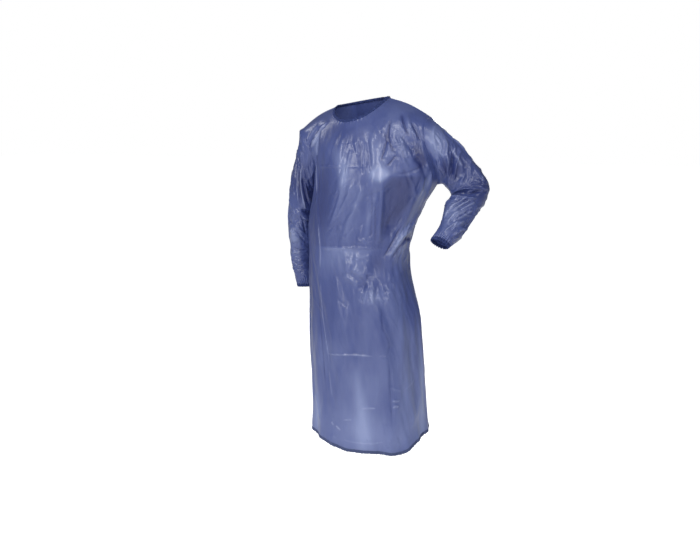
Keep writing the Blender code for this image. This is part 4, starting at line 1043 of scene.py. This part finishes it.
def place_on(tree, scale=None):
    """The place on the object, counted more finely along some axes."""
    place = tree.nodes.new("ShaderNodeTexCoord").outputs["Object"]
    if scale is None:
        return place
    return linked(tree, "ShaderNodeMapping", Vector=place, Scale=scale).outputs[0]


def noise(tree, place, scale, detail, **inputs):
    node = linked(tree, "ShaderNodeTexNoise", Vector=place, Scale=scale, Detail=detail, **inputs)
    return node.outputs[0]


def cleared(owner):
    """The empty node tree of a material or a world."""
    owner.use_nodes = True
    owner.node_tree.nodes.clear()
    return owner.node_tree


def mixed_shaders(tree, share, first, second):
    node = tree.nodes.new("ShaderNodeMixShader")
    for socket, value in zip(node.inputs, (share, first.outputs[0], second.outputs[0])):
        set_input(tree, socket, value)
    return node


def finished(tree, surface, kind="ShaderNodeOutputMaterial"):
    linked(tree, kind, Surface=surface.outputs[0])


def film_material(name, settings, thickness=1.0):
    """Thin blue film: a deep tint under a white sheen, fine crinkles, light through it, and painted
    light and shade.
    """
    material = bpy.data.materials.new(name)
    tree = cleared(material)
    lines = attribute(tree, "lines")
    drift = noise(tree, place_on(tree, (9.0, 9.0, 4.0)), 1.0, 3.0, Roughness=0.6)
    streaks = noise(tree, place_on(tree, (95.0, 95.0, 8.0)), 1.0, 3.0, Roughness=0.6)
    folds = tree.nodes.new("ShaderNodeTexNoise")
    folds.noise_type = "RIDGED_MULTIFRACTAL"
    for socket, value in (("Vector", place_on(tree, (1.0, 1.0, 0.72))), ("Detail", 3.0),
                          ("Scale", settings.crinkle_scale), ("Roughness", 0.55),
                          ("Distortion", 0.5)):
        set_input(tree, folds.inputs[socket], value)
    # pale holds the colour of painted highlights, deep that of painted shade and doubled film, and
    # fold that of whitened fold lines and the brightest painted highlights
    colour, pale, deep, fold = (tuple(part) for part in (
        settings.colour, settings.painted_light_colour, settings.shade_and_doubled_colour, settings.whitening_and_highlight_colour))
    # The painted light and shade of the mesh, with a little random drift of tone
    light = worked_out(tree, "ADD", attribute(tree, "painted_light"),
                       mapped(tree, 0.35, 0.65, -0.16, 0.16, drift))
    # Painted highlights and light through the film turn the tint paler, painted shade turns it
    # deeper, and the brightest painted highlights turn it whiter
    tint = blended(tree, mapped(tree, 0.0, 1.25, 0.0, 1.0, light), colour, pale)
    tint = blended(tree, mapped(tree, 0.0, -1.2, 0.0, 1.0, light), tint, deep)
    tint = blended(tree, mapped(tree, 1.25, 2.6, 0.0, 0.8, light), tint, fold)
    # Raised fold lines are painted paler, as whitened film and a painted highlight, and sunken ones
    # deeper, as doubled film and painted shade
    tint = blended(tree, mapped(tree, 0.15, 1.8, 0.0, settings.fold_whitening_and_highlight, lines), tint, fold)
    tint = blended(tree, mapped(tree, -0.15, -1.8, 0.0, 0.85, lines), tint, deep)
    rough = mapped(tree, 0.35, 0.65, settings.roughness - 0.04, settings.roughness + 0.05, drift)
    along = linked(tree, "ShaderNodeBump", Strength=1.0, Height=streaks,
                   Distance=settings.crinkle_depth * 0.65)
    height = worked_out(tree, "MULTIPLY", mapped(tree, 0.0, 2.0, 0.0, 1.0, folds.outputs[0]),
                        attribute(tree, "crinkle"))
    bump = linked(tree, "ShaderNodeBump", Strength=1.0, Height=height,
                  Distance=settings.crinkle_depth * 2.4, Normal=along.outputs[0]).outputs[0]
    surface = linked(tree, "ShaderNodeBsdfPrincipled", Base_Color=tint, Roughness=rough,
                     Normal=bump)
    surface.inputs["IOR"].default_value = 1.50
    surface.inputs["Specular IOR Level"].default_value = settings.sheen
    surface.inputs["Coat Weight"].default_value = settings.gloss
    surface.inputs["Coat Roughness"].default_value = 0.20
    through = linked(tree, "ShaderNodeBsdfTranslucent", Color=tint, Normal=bump)
    finished(tree, mixed_shaders(tree, settings.light_through * thickness, surface, through))
    return material


def edging_material(name, settings, band_colour, thread_colour):
    """Stitched edging: close slanting stitches over a matt band."""
    material = bpy.data.materials.new(name)
    tree = cleared(material)
    slant = worked_out(tree, "MULTIPLY_ADD", attribute(tree, "across"), STITCH_SLANT,
                       attribute(tree, "along"))
    turns = worked_out(tree, "MULTIPLY", slant, 2 * math.pi / settings.stitch_length)
    thread = mapped(tree, -1.0, 1.0, 0.0, 1.0, worked_out(tree, "SINE", turns))
    fuzz = noise(tree, place_on(tree), 900.0, 3.0)
    shade = noise(tree, place_on(tree), 60.0, 2.0)
    paler = tuple(min(1.0, 1.9 * part + 0.01) for part in thread_colour)
    tint = blended(tree, thread, tuple(band_colour), tuple(thread_colour))
    tint = blended(tree, mapped(tree, 0.55, 0.75, 0.0, 0.3, shade), tint, paler)
    fuzzy = linked(tree, "ShaderNodeBump", Strength=0.4, Height=fuzz, Distance=0.0003)
    bump = linked(tree, "ShaderNodeBump", Strength=0.9, Height=thread, Distance=0.0007,
                  Normal=fuzzy.outputs[0])
    surface = linked(tree, "ShaderNodeBsdfPrincipled", Base_Color=tint, Normal=bump.outputs[0],
                     Roughness=mapped(tree, 0.3, 0.7, 0.65, 0.85, shade))
    surface.inputs["Specular IOR Level"].default_value = 0.08
    finished(tree, surface)
    return material


def finish(name, make, *choices):
    """The material of that name, made the first time that it is asked for."""
    return bpy.data.materials.get(name) or make(name, *choices)


def edge_of(film, row, inner, columns=slice(None)):
    """A stretch of a row of a film: its points, the way beyond the edge and the way out."""
    points = film.points[row, columns]
    return points, points - film.points[inner, columns], film.normals()[row, columns]


def joined_edge(*stretches, closed=False):
    """Stretches of edge as one line: its points, the way beyond it and the way out."""
    points, ahead, out = (np.concatenate(parts) for parts in zip(*stretches))
    far = np.linalg.norm(np.diff(points, axis=0, prepend=points[:1] + 1.0), axis=1)
    far = far > CLOSEST_EDGE_POINTS
    points, ahead, out = points[far], ahead[far], out[far]
    for _ in range(3):
        if closed:
            out = unit(out + np.roll(out, 1, axis=0) + np.roll(out, -1, axis=0))
        else:
            out[1:-1] = unit(out[:-2] + out[1:-1] + out[2:])
    beyond = unit(np.cross(along_run(points, closed), out))
    return points, beyond * np.sign(np.sum(beyond * ahead)), out


def edging_piece(name, edge, width, settings, material, seed, closed=False, drop=0.0, rounder=1.0):
    """A rounded band that carries on from an edge of film and ripples as elastic does."""
    points, beyond, out = edge
    along = np.concatenate([[0.0], np.cumsum(np.linalg.norm(np.diff(points, axis=0), axis=1))])
    chance = np.random.default_rng(seed)
    ripple = np.zeros(len(points))
    total = along[-1] + (np.linalg.norm(points[0] - points[-1]) if closed else 0.0)
    for length in EDGING_WAVES:
        turns = round(total / length) if closed else total / length
        ripple += np.sin(2 * np.pi * turns * along / total + chance.uniform(0, 6.28)) / 3.0
    turn = np.linspace(0.0, 2 * np.pi, settings.sides, endpoint=False)
    ahead, up = np.cos(turn), np.sin(turn)
    reach = width / 2 - EDGING_OVERLAP
    reach = reach - (width / 2 + EDGING_OVERLAP) * np.sign(ahead) * np.abs(ahead)**0.7
    rise = rounder * settings.thickness / 2 * np.sign(up) * np.abs(up)**0.8
    rings = (points[:, None]
             + beyond[:, None] * (reach[None, :, None] + (ripple * drop)[:, None, None])
             + out[:, None] * (rise[None, :, None] - WALL / 2
                               + (settings.ripple * ripple)[:, None, None]))
    attributes = (("along", np.repeat(along, settings.sides)),
                  ("across", np.tile(ahead, len(points))))
    faces = tube_faces(len(points), settings.sides, closed)
    return new_piece(name, rings, faces, material, attributes)


def bead_piece(name, points, out, settings, material, closed=False):
    """A narrow welded seam: a low bead along a line on the film."""
    across = unit(np.cross(along_run(points, closed), out))
    turn = np.linspace(0.0, 2 * np.pi, SEAM_SIDES, endpoint=False)
    reach = 0.5 * settings.width * np.cos(turn)
    rise = settings.height * (np.sin(turn) - SEAM_SUNK)
    rings = (points[:, None] + across[:, None] * reach[None, :, None]
             + out[:, None] * rise[None, :, None])
    return new_piece(name, rings, tube_faces(len(points), SEAM_SIDES, closed), material)


def at_column(grid, column):
    """A line of a grid between two of its columns."""
    first = min(int(column), grid.shape[1] - 2)
    return grid[:, first] * (1 - column + first) + grid[:, first + 1] * (column - first)


def tape_strip(name, lines, material, ripple, length):
    """A thin folded tape along its cross-lines, with a double edge and slow ripples."""
    count, across = lines.shape[:2]
    out = unit(np.cross(np.gradient(lines, axis=0), np.gradient(lines, axis=1)))
    if np.sum(out * lines.mean(axis=(0, 1)) * (1.0, 1.0, 0.0)) < 0:
        out = -out
    steps = np.diff(lines[:, 0], axis=0, prepend=lines[:1, 0])
    place = np.cumsum(np.linalg.norm(steps, axis=1))
    part = np.linspace(-1.0, 1.0, across)
    depth = (ripple * np.sin(2 * np.pi * place / length)[:, None] * (0.5 + 0.5 * part[None]**2)
             + 0.0005 * np.exp(-((np.abs(part[None]) - 0.86) / 0.10)**2))
    top = lines + out * (depth + TAPE_TOP)[..., None]
    base = lines + out * (np.minimum(depth, 0.0) - TAPE_BASE)[..., None]
    ring = np.concatenate([top, base[:, ::-1]], axis=1)
    return new_piece(name, ring, tube_faces(count, 2 * across), material)


def knot_piece(name, middle, out, material):
    """A flat knot of film: pleats that run in from both sides, under one wrapped turn."""
    rows, columns = 48, 72
    up = np.linspace(-0.5 * np.pi, 0.5 * np.pi, rows)[:, None]
    round_it = np.linspace(0.0, 2 * np.pi, columns, endpoint=False)[None]
    x = np.cos(up)**0.8 * np.cos(round_it)
    y = np.cos(up)**0.8 * np.sin(round_it)
    z = np.sin(up) + 0.0 * round_it
    pleats = 0.10 * np.sin(9.0 * z + 4.0 * x) * np.abs(x) + 0.05 * np.sin(21.0 * x + 6.0 * z)
    swell = 1.0 + pleats + 0.20 * np.exp(-((x + 0.35 * z) / 0.34)**2)
    side = unit(np.array([out[1], -out[0], 0.0]))
    top = np.cross(out, side)
    top = top if top[2] > 0 else -top
    half_width, half_height, half_depth = KNOT_HALF_SIZES
    points = (middle + out * KNOT_OFF_FILM + side * (half_width * x * swell)[..., None]
              + top * (half_height * z * (1.0 + 0.5 * pleats))[..., None]
              + out * (half_depth * y * swell)[..., None])
    return new_piece(name, points, tube_faces(rows, columns), material)


def loose_end(name, film, centre, side, lift, column_width, material):
    """One loose end of the knot: it hangs down the back, leans out and curls a little."""
    lines = []
    normals = film.normals()
    for share in np.linspace(0.0, 1.0, 60):
        height = WAIST_HEIGHT - END_DROP - share * (TAPE_END_LENGTH + 0.007)
        width = TAPE_WIDTH * (0.40 + 0.60 * ease(share * 3.0))
        line = []
        for part in np.linspace(0.0, 1.0, 12):
            off_centre = side * (0.0008 + share * END_SPREAD + part * width) / column_width
            column = (centre + off_centre) * BACK_STEPS
            strip, way = at_column(film.points, column), at_column(normals, column)
            row = int(np.searchsorted(strip[:ARMPIT, 2], height)) - 1
            rise = (height - strip[row, 2]) / (strip[row + 1, 2] - strip[row, 2])
            spot = strip[row] * (1 - rise) + strip[row + 1] * rise
            curl = (END_CURL * np.sin(2 * np.pi * part + 5.0 * share)
                    + END_LEAN * share * (part - 0.3)**2)
            off_film = lift + 0.0008 + 0.0018 * np.sin(3.0 * share) + curl
            line.append(spot + unit(way[row]) * off_film)
        lines.append(line)
    return tape_strip(name, np.array(lines), material, 0.0005, 0.060)


def length_setting(name, description, default, low, high):
    return FloatProperty(name=name, description=description, subtype="DISTANCE", unit="LENGTH",
                         default=default, min=low, max=high)


def colour_setting(name, description, default):
    return FloatVectorProperty(name=name, description=description, subtype="COLOR", size=3,
                               default=default, min=0.0, max=1.0)


def share_setting(name, description, default, low=0.0):
    return FloatProperty(name=name, description=description, subtype="FACTOR", default=default,
                         min=low, max=1.0)


class ApronFilmSettings(bpy.types.PropertyGroup):
    """Colour and finish of the film."""

    colour: colour_setting("Colour", "Main colour of the film", (0.063, 0.088, 0.258))
    # The pale colour is that of painted highlights, painted sheen and light painted through the
    # film
    painted_light_colour: colour_setting("Pale colour", "Colour where more light comes through",
                                (0.225, 0.272, 0.485))
    # The deep colour is that of painted shade in hollows and on sides turned from the lights, and
    # of doubled film
    shade_and_doubled_colour: colour_setting("Deep colour", "Colour in hollows and where the film is doubled",
                                (0.021, 0.032, 0.142))
    # The fold colour is that of whitened fold lines and of the brightest painted highlights
    whitening_and_highlight_colour: colour_setting("Fold colour", "Colour of fold lines, which whiten in thin film",
                                (0.330, 0.370, 0.580))
    # How far raised fold lines are painted paler: whitened film and a painted highlight along them
    fold_whitening_and_highlight: share_setting("Fold whitening", "How far fold lines turn to their own colour",
                                  0.55)
    roughness: share_setting("Roughness", "How wide the white sheen spreads", 0.36, 0.05)
    sheen: share_setting("Sheen", "Strength of the broad white sheen", 0.55)
    gloss: share_setting("Gloss", "Strength of the sharper shine on top of the sheen", 0.40)
    light_through: share_setting("Light through", "Share of the light that comes through the film",
                                 0.22)
    crinkle_scale: FloatProperty(name="Crinkle scale", default=70.0, min=10.0, max=400.0,
                                 description="Number of fine crinkles in a metre")
    crinkle_depth: length_setting("Crinkle depth", "Depth of the fine crinkles", 0.0012, 0.0, 0.005)


class ApronEdgingSettings(bpy.types.PropertyGroup):
    """Sizes and colours of the elastic edgings."""

    colour: colour_setting("Colour", "Colour between the stitches", (0.016, 0.025, 0.092))
    thread_colour: colour_setting("Thread colour", "Colour of the stitches",
                                  (0.040, 0.057, 0.168))
    hem_colour: colour_setting("Hem colour", "Colour between the stitches of the hem",
                               (0.042, 0.056, 0.128))
    hem_thread_colour: colour_setting("Hem thread colour", "Colour of the stitches of the hem",
                                      (0.085, 0.104, 0.205))
    neck_width: length_setting("Neck width", "Width of the neck edging", 0.0092, 0.002, 0.03)
    cuff_width: length_setting("Cuff width", "Width of the cuff edgings", 0.0110, 0.002, 0.03)
    hem_width: length_setting("Hem width", "Width of the hem edging", 0.0112, 0.002, 0.03)
    thickness: length_setting("Thickness", "Thickness of the edgings", 0.0032, 0.001, 0.01)
    ripple: length_setting("Ripple", "How far the elastic ripples in and out", 0.0009, 0.0, 0.005)
    stitch_length: length_setting("Stitch length", "Distance between stitches", 0.0026, 0.001, 0.01)
    sides: IntProperty(name="Sides", description="Number of faces round the band", default=12,
                       min=6, max=32)


class ApronSeamSettings(bpy.types.PropertyGroup):
    """Sizes of the welded seams and of the waist tapes."""

    width: length_setting("Seam width", "Width of a welded seam", 0.0030, 0.001, 0.01)
    height: length_setting("Seam height", "How far a welded seam stands up", 0.0006, 0.0002, 0.003)
    tape_lift: length_setting("Tape lift", "Gap between a waist tape and the film under it",
                              0.0013, 0.0005, 0.01)


class ApronStageSettings(bpy.types.PropertyGroup):
    """Camera, floor and lights."""

    camera_azimuth: FloatProperty(
        name="Camera azimuth", description="Where the camera stands round the garment",
        subtype="ANGLE", default=math.radians(25.0))
    camera_tilt: FloatProperty(
        name="Camera tilt", description="How far the camera looks down", subtype="ANGLE",
        default=math.radians(9.8))
    camera_distance: length_setting(
        "Camera distance", "Distance of the camera from the garment's middle", 3.3, 0.5, 20.0)
    floor_height: length_setting("Floor height", "Height of the floor", LOWEST - 0.33, -5.0, 5.0)
    key_power: FloatProperty(
        name="Key light", description="Power of the tall light in front of the garment",
        unit="POWER", default=52.0, min=0.0, max=2000.0)
    fill_power: FloatProperty(
        name="Fill light", description="Power that the other lights take their shares of",
        unit="POWER", default=24.0, min=0.0, max=2000.0)


class APRON_OT_front(bpy.types.Operator):
    """Make the front, one cut of film from the neckline to the hem"""

    bl_idname = "apron.front"
    bl_label = "Front"

    def execute(self, context):
        material = finish("apron_film", film_material, context.scene.apron_film)
        piece = film_piece("front_film", films()["front"], material)
        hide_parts("front_panel")
        return {"FINISHED"}


class APRON_OT_backs(bpy.types.Operator):
    """Make both cuts of the open back, which lap over each other at the centre"""

    bl_idname = "apron.backs"
    bl_label = "Backs"

    def execute(self, context):
        material = finish("apron_film", film_material, context.scene.apron_film)
        for side in ("left", "right"):
            piece = film_piece(f"back_film_{side}", films()[side], material)
            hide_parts(f"back_panel_{side}")
        return {"FINISHED"}


class APRON_OT_sleeves(bpy.types.Operator):
    """Make both sleeves, set in at the armholes and gathered at the cuffs"""

    bl_idname = "apron.sleeves"
    bl_label = "Sleeves"

    def execute(self, context):
        material = finish("apron_film", film_material, context.scene.apron_film)
        for side, area in (("left", 0.150), ("right", 0.160)):
            piece = film_piece(f"sleeve_film_{side}", films()[f"sleeve_{side}"], material)
            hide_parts(f"sleeve_{side}")
        return {"FINISHED"}


class APRON_OT_seams(bpy.types.Operator):
    """Make the welded seams at the sides, the shoulders and the armholes"""

    bl_idname = "apron.seams"
    bl_label = "Seams"

    def execute(self, context):
        settings = context.scene.apron_seams
        material = finish("apron_weld", film_material, context.scene.apron_film, 0.3)
        front = films()["front"]
        out = front.normals()
        shoulder = SHOULDER_STEPS * FRONT_STEPS
        for side, edge, back_edge, row in (
                ("left", -1, 0, slice(out.shape[1] - 1 - shoulder, None)),
                ("right", 0, -1, slice(0, shoulder + 1))):
            below = slice(0, ARMPIT + 1)
            mean = unit(out[:, edge] + films()[side].normals()[:, back_edge])
            up = unit(out[-1, row] + np.array([0.0, 0.0, 1.0]))
            sleeve = films()[f"sleeve_{side}"]
            for place, points, way, closed in (
                    ("side", front.points[below, edge], mean[below], False),
                    ("shoulder", front.points[-1, row], up, False),
                    ("armhole", sleeve.points[0], sleeve.normals()[0], True)):
                piece = bead_piece(f"seam_{place}_{side}", points, way, settings, material, closed)
        return {"FINISHED"}


class APRON_OT_edgings(bpy.types.Operator):
    """Make the dark elastic edgings of the neck and the cuffs, and the stitched hem"""

    bl_idname = "apron.edgings"
    bl_label = "Edgings"

    def execute(self, context):
        settings = context.scene.apron_edging
        dark = finish("apron_edging", edging_material, settings, settings.colour,
                      settings.thread_colour)
        pale = finish("apron_hem_edging", edging_material, settings, settings.hem_colour,
                      settings.hem_thread_colour)
        cuts = films()
        front, left, right = cuts["front"], cuts["left"], cuts["right"]
        ends, back_ends = SHOULDER_STEPS * FRONT_STEPS, SHOULDER_STEPS * BACK_STEPS
        neck = joined_edge(edge_of(right, -1, -2, slice(0, right.points.shape[1] - back_ends)),
                           edge_of(front, -1, -2, slice(ends, front.points.shape[1] - ends)),
                           edge_of(left, -1, -2, slice(back_ends, None)))
        hem = joined_edge(edge_of(right, 0, 1), edge_of(front, 0, 1), edge_of(left, 0, 1))
        made = [("neck_edging", edging_piece("neck_band", neck, settings.neck_width, settings, dark,
                                             3, rounder=1.6)),
                ("hem_edging", edging_piece("hem_band", hem, settings.hem_width, settings, pale,
                                            4, drop=0.0012))]
        for side, seed in (("left", 6), ("right", 7)):
            cuff = joined_edge(edge_of(cuts[f"sleeve_{side}"], -1, -2), closed=True)
            made.append((f"cuff_edging_{side}", edging_piece(
                f"cuff_band_{side}", cuff, settings.cuff_width, settings, dark, seed, closed=True)))
        for node, piece in made:
            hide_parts(node)
        return {"FINISHED"}


class APRON_OT_tapes(bpy.types.Operator):
    """Make the waist tapes, their knot and its loose ends at the centre back"""

    bl_idname = "apron.tapes"
    bl_label = "Tapes"

    def execute(self, context):
        lift = context.scene.apron_seams.tape_lift
        material = finish("apron_film", film_material, context.scene.apron_film)
        left, right = films()["left"], films()["right"]
        rows = slice(WAIST, WAIST + SKIRT_STEPS + 1)
        strips = {key: (film.points[rows], film.normals()[rows])
                  for key, film in (("left", left), ("right", right))}
        centre, last = HALF_STEPS, HALF_STEPS + LAP_COLUMNS
        centre_column = centre * BACK_STEPS
        column_width = np.linalg.norm(left.points[WAIST, centre_column]
                                      - left.points[WAIST, centre_column + BACK_STEPS])
        knot = KNOT_HALF_WIDTH / column_width
        from_side = np.linspace(TAPE_START_COLUMN, centre - LAP_COLUMNS - 0.12, 100)
        lifts = LAP_OFFSET * ease((from_side - (centre - LAP_COLUMNS - 3.4)) / 3.0)
        runs = {
            "tie_left": [("left", column, lift)
                         for column in np.linspace(TAPE_START_COLUMN, centre - knot, 130)],
            "tie_right": [("right", last - column, lift + extra)
                          for column, extra in zip(from_side, lifts)]
                         + [("left", column, lift)
                            for column in np.linspace(last - 0.05, centre + knot, 26)],
        }
        made = []
        for name, stretches in runs.items():
            lines = []
            for key, column, rise in stretches:
                points, normals = (at_column(grid, column * BACK_STEPS) for grid in strips[key])
                lines.append(points + unit(normals) * rise)
            piece = tape_strip(name + "_tape", np.array(lines), material, 0.0006, 0.050)
            made.append((name, piece, "stretched", TIE_LENGTH))
        for name, side in (("tie_end_left", -1.0), ("tie_end_right", 1.0)):
            piece = loose_end(name + "_tape", left, centre, side, lift, column_width, material)
            made.append((name, piece, "hung", TAPE_END_LENGTH))
        middle = WAIST + SKIRT_STEPS // 2, centre_column
        knot_tape = knot_piece("tie_knot_tape", left.points[middle], left.normals()[middle],
                               material)
        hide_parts("tie_knot")
        for node, piece, held, length in made:
            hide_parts(node)
        return {"FINISHED"}


class APRON_OT_stage(bpy.types.Operator):
    """Make the floor, the soft lights and the camera"""

    bl_idname = "apron.stage"
    bl_label = "Stage"

    def execute(self, context):
        settings = context.scene.apron_stage
        scene = context.scene
        scene.view_settings.view_transform = "Standard"
        scene.view_settings.look = "None"
        self.floor(scene, settings)
        self.sky(scene)
        self.camera(scene, settings)
        for name, (azimuth, *place) in LIGHTS.items():
            power = settings.key_power
            if name in SHARES_OF_FILL:
                power = SHARES_OF_FILL[name] * settings.fill_power
            self.light(scene, name, settings.camera_azimuth + azimuth, *place, power)
        return {"FINISHED"}

    def floor(self, scene, settings):
        mesh = bpy.data.meshes.new("floor")
        half, height = 30.0, settings.floor_height
        mesh.from_pydata([(-half, -half, height), (half, -half, height), (half, half, height),
                          (-half, half, height)], [], [(0, 1, 2, 3)])
        material = bpy.data.materials.new("floor_paint")
        tree = cleared(material)
        tint = blended(tree, noise(tree, place_on(tree), 1.5, 2.0), (0.90, 0.90, 0.90),
                       (0.93, 0.93, 0.93))
        seen = tree.nodes.new("ShaderNodeLightPath").outputs["Is Camera Ray"]
        surface = linked(tree, "ShaderNodeBsdfPrincipled", Base_Color=tint,
                         Emission_Strength=mapped(tree, 0.0, 1.0, 0.12, 0.70, seen))
        surface.inputs["Roughness"].default_value = 0.85
        surface.inputs["Specular IOR Level"].default_value = 0.1
        surface.inputs["Emission Color"].default_value = (1.0, 1.0, 1.0, 1.0)
        finished(tree, surface)
        mesh.materials.append(material)
        floor = bpy.data.objects.new("floor", mesh)
        scene.collection.objects.link(floor)

    def sky(self, scene):
        world = bpy.data.worlds.new("studio")
        scene.world = world
        tree = cleared(world)
        seen, lit, mirrored = (
            linked(tree, "ShaderNodeBackground", Color=colour, Strength=strength)
            for colour, strength in (((1.0, 1.0, 1.0, 1.0), 1.0), ((0.96, 0.98, 1.0, 1.0), 0.38),
                                     ((0.96, 0.98, 1.0, 1.0), 0.16)))
        path = tree.nodes.new("ShaderNodeLightPath").outputs
        dim = mixed_shaders(tree, path["Is Glossy Ray"], lit, mirrored)
        finished(tree, mixed_shaders(tree, path["Is Camera Ray"], dim, seen),
                 "ShaderNodeOutputWorld")

    def light(self, scene, name, azimuth, elevation, distance, width, height, power):
        data = bpy.data.lights.new(name, "AREA")
        data.shape = "RECTANGLE"
        data.size, data.size_y = width, height
        data.energy = power
        way = Vector((math.sin(azimuth) * math.cos(elevation),
                      -math.cos(azimuth) * math.cos(elevation), math.sin(elevation)))
        item = bpy.data.objects.new(name, data)
        item.location = Vector(LIGHT_AIM) + way * distance
        item.rotation_euler = way.to_track_quat("Z", "Y").to_euler()
        scene.collection.objects.link(item)

    def camera(self, scene, settings):
        data = bpy.data.cameras.new("camera")
        data.sensor_width = 36.0
        data.lens = CAMERA_LENS
        azimuth, tilt = settings.camera_azimuth, settings.camera_tilt
        towards = Vector((math.sin(azimuth), -math.cos(azimuth), 0.0))
        side = Vector((math.cos(azimuth), math.sin(azimuth), 0.0))
        up = Vector((0.0, 0.0, 1.0))
        ahead = -towards * math.cos(tilt) - up * math.sin(tilt)
        over = -towards * math.sin(tilt) + up * math.cos(tilt)
        place = towards * settings.camera_distance - up * CAMERA_DROP - side * CAMERA_SHIFT
        turn = Matrix((side, over, -ahead)).transposed()
        camera = bpy.data.objects.new("camera", data)
        camera.matrix_world = Matrix.Translation(place) @ turn.to_4x4()
        scene.collection.objects.link(camera)
        scene.camera = camera


class APRON_PT_panel(bpy.types.Panel):
    """The apron's parts, in the 3D view's sidebar"""

    bl_idname = "APRON_PT_panel"
    bl_label = "Sleeved Chemical Apron"
    bl_space_type = "VIEW_3D"
    bl_region_type = "UI"
    bl_category = "Apron"

    def draw(self, context):
        for maker in MAKERS:
            self.layout.operator(maker.bl_idname)
        for name, group in SETTINGS:
            box = self.layout.box()
            for setting in group.__annotations__:
                box.prop(getattr(context.scene, name), setting)


SETTINGS = (
    ("apron_film", ApronFilmSettings),
    ("apron_edging", ApronEdgingSettings),
    ("apron_seams", ApronSeamSettings),
    ("apron_stage", ApronStageSettings),
)
MAKERS = (APRON_OT_front, APRON_OT_backs, APRON_OT_sleeves, APRON_OT_seams, APRON_OT_edgings,
          APRON_OT_tapes, APRON_OT_stage)


def register():
    for name, settings in SETTINGS:
        bpy.utils.register_class(settings)
        setattr(bpy.types.Scene, name, PointerProperty(type=settings))
    for maker in MAKERS + (APRON_PT_panel,):
        bpy.utils.register_class(maker)


def unregister():
    for maker in reversed(MAKERS + (APRON_PT_panel,)):
        bpy.utils.unregister_class(maker)
    for name, settings in reversed(SETTINGS):
        delattr(bpy.types.Scene, name)
        bpy.utils.unregister_class(settings)


def main():
    register()
    bpy.ops.apron.front()
    bpy.ops.apron.backs()
    bpy.ops.apron.sleeves()
    bpy.ops.apron.seams()
    bpy.ops.apron.edgings()
    bpy.ops.apron.tapes()
    bpy.ops.apron.stage()
    bpy.context.view_layer.update()


if __name__ == "__main__":
    main()
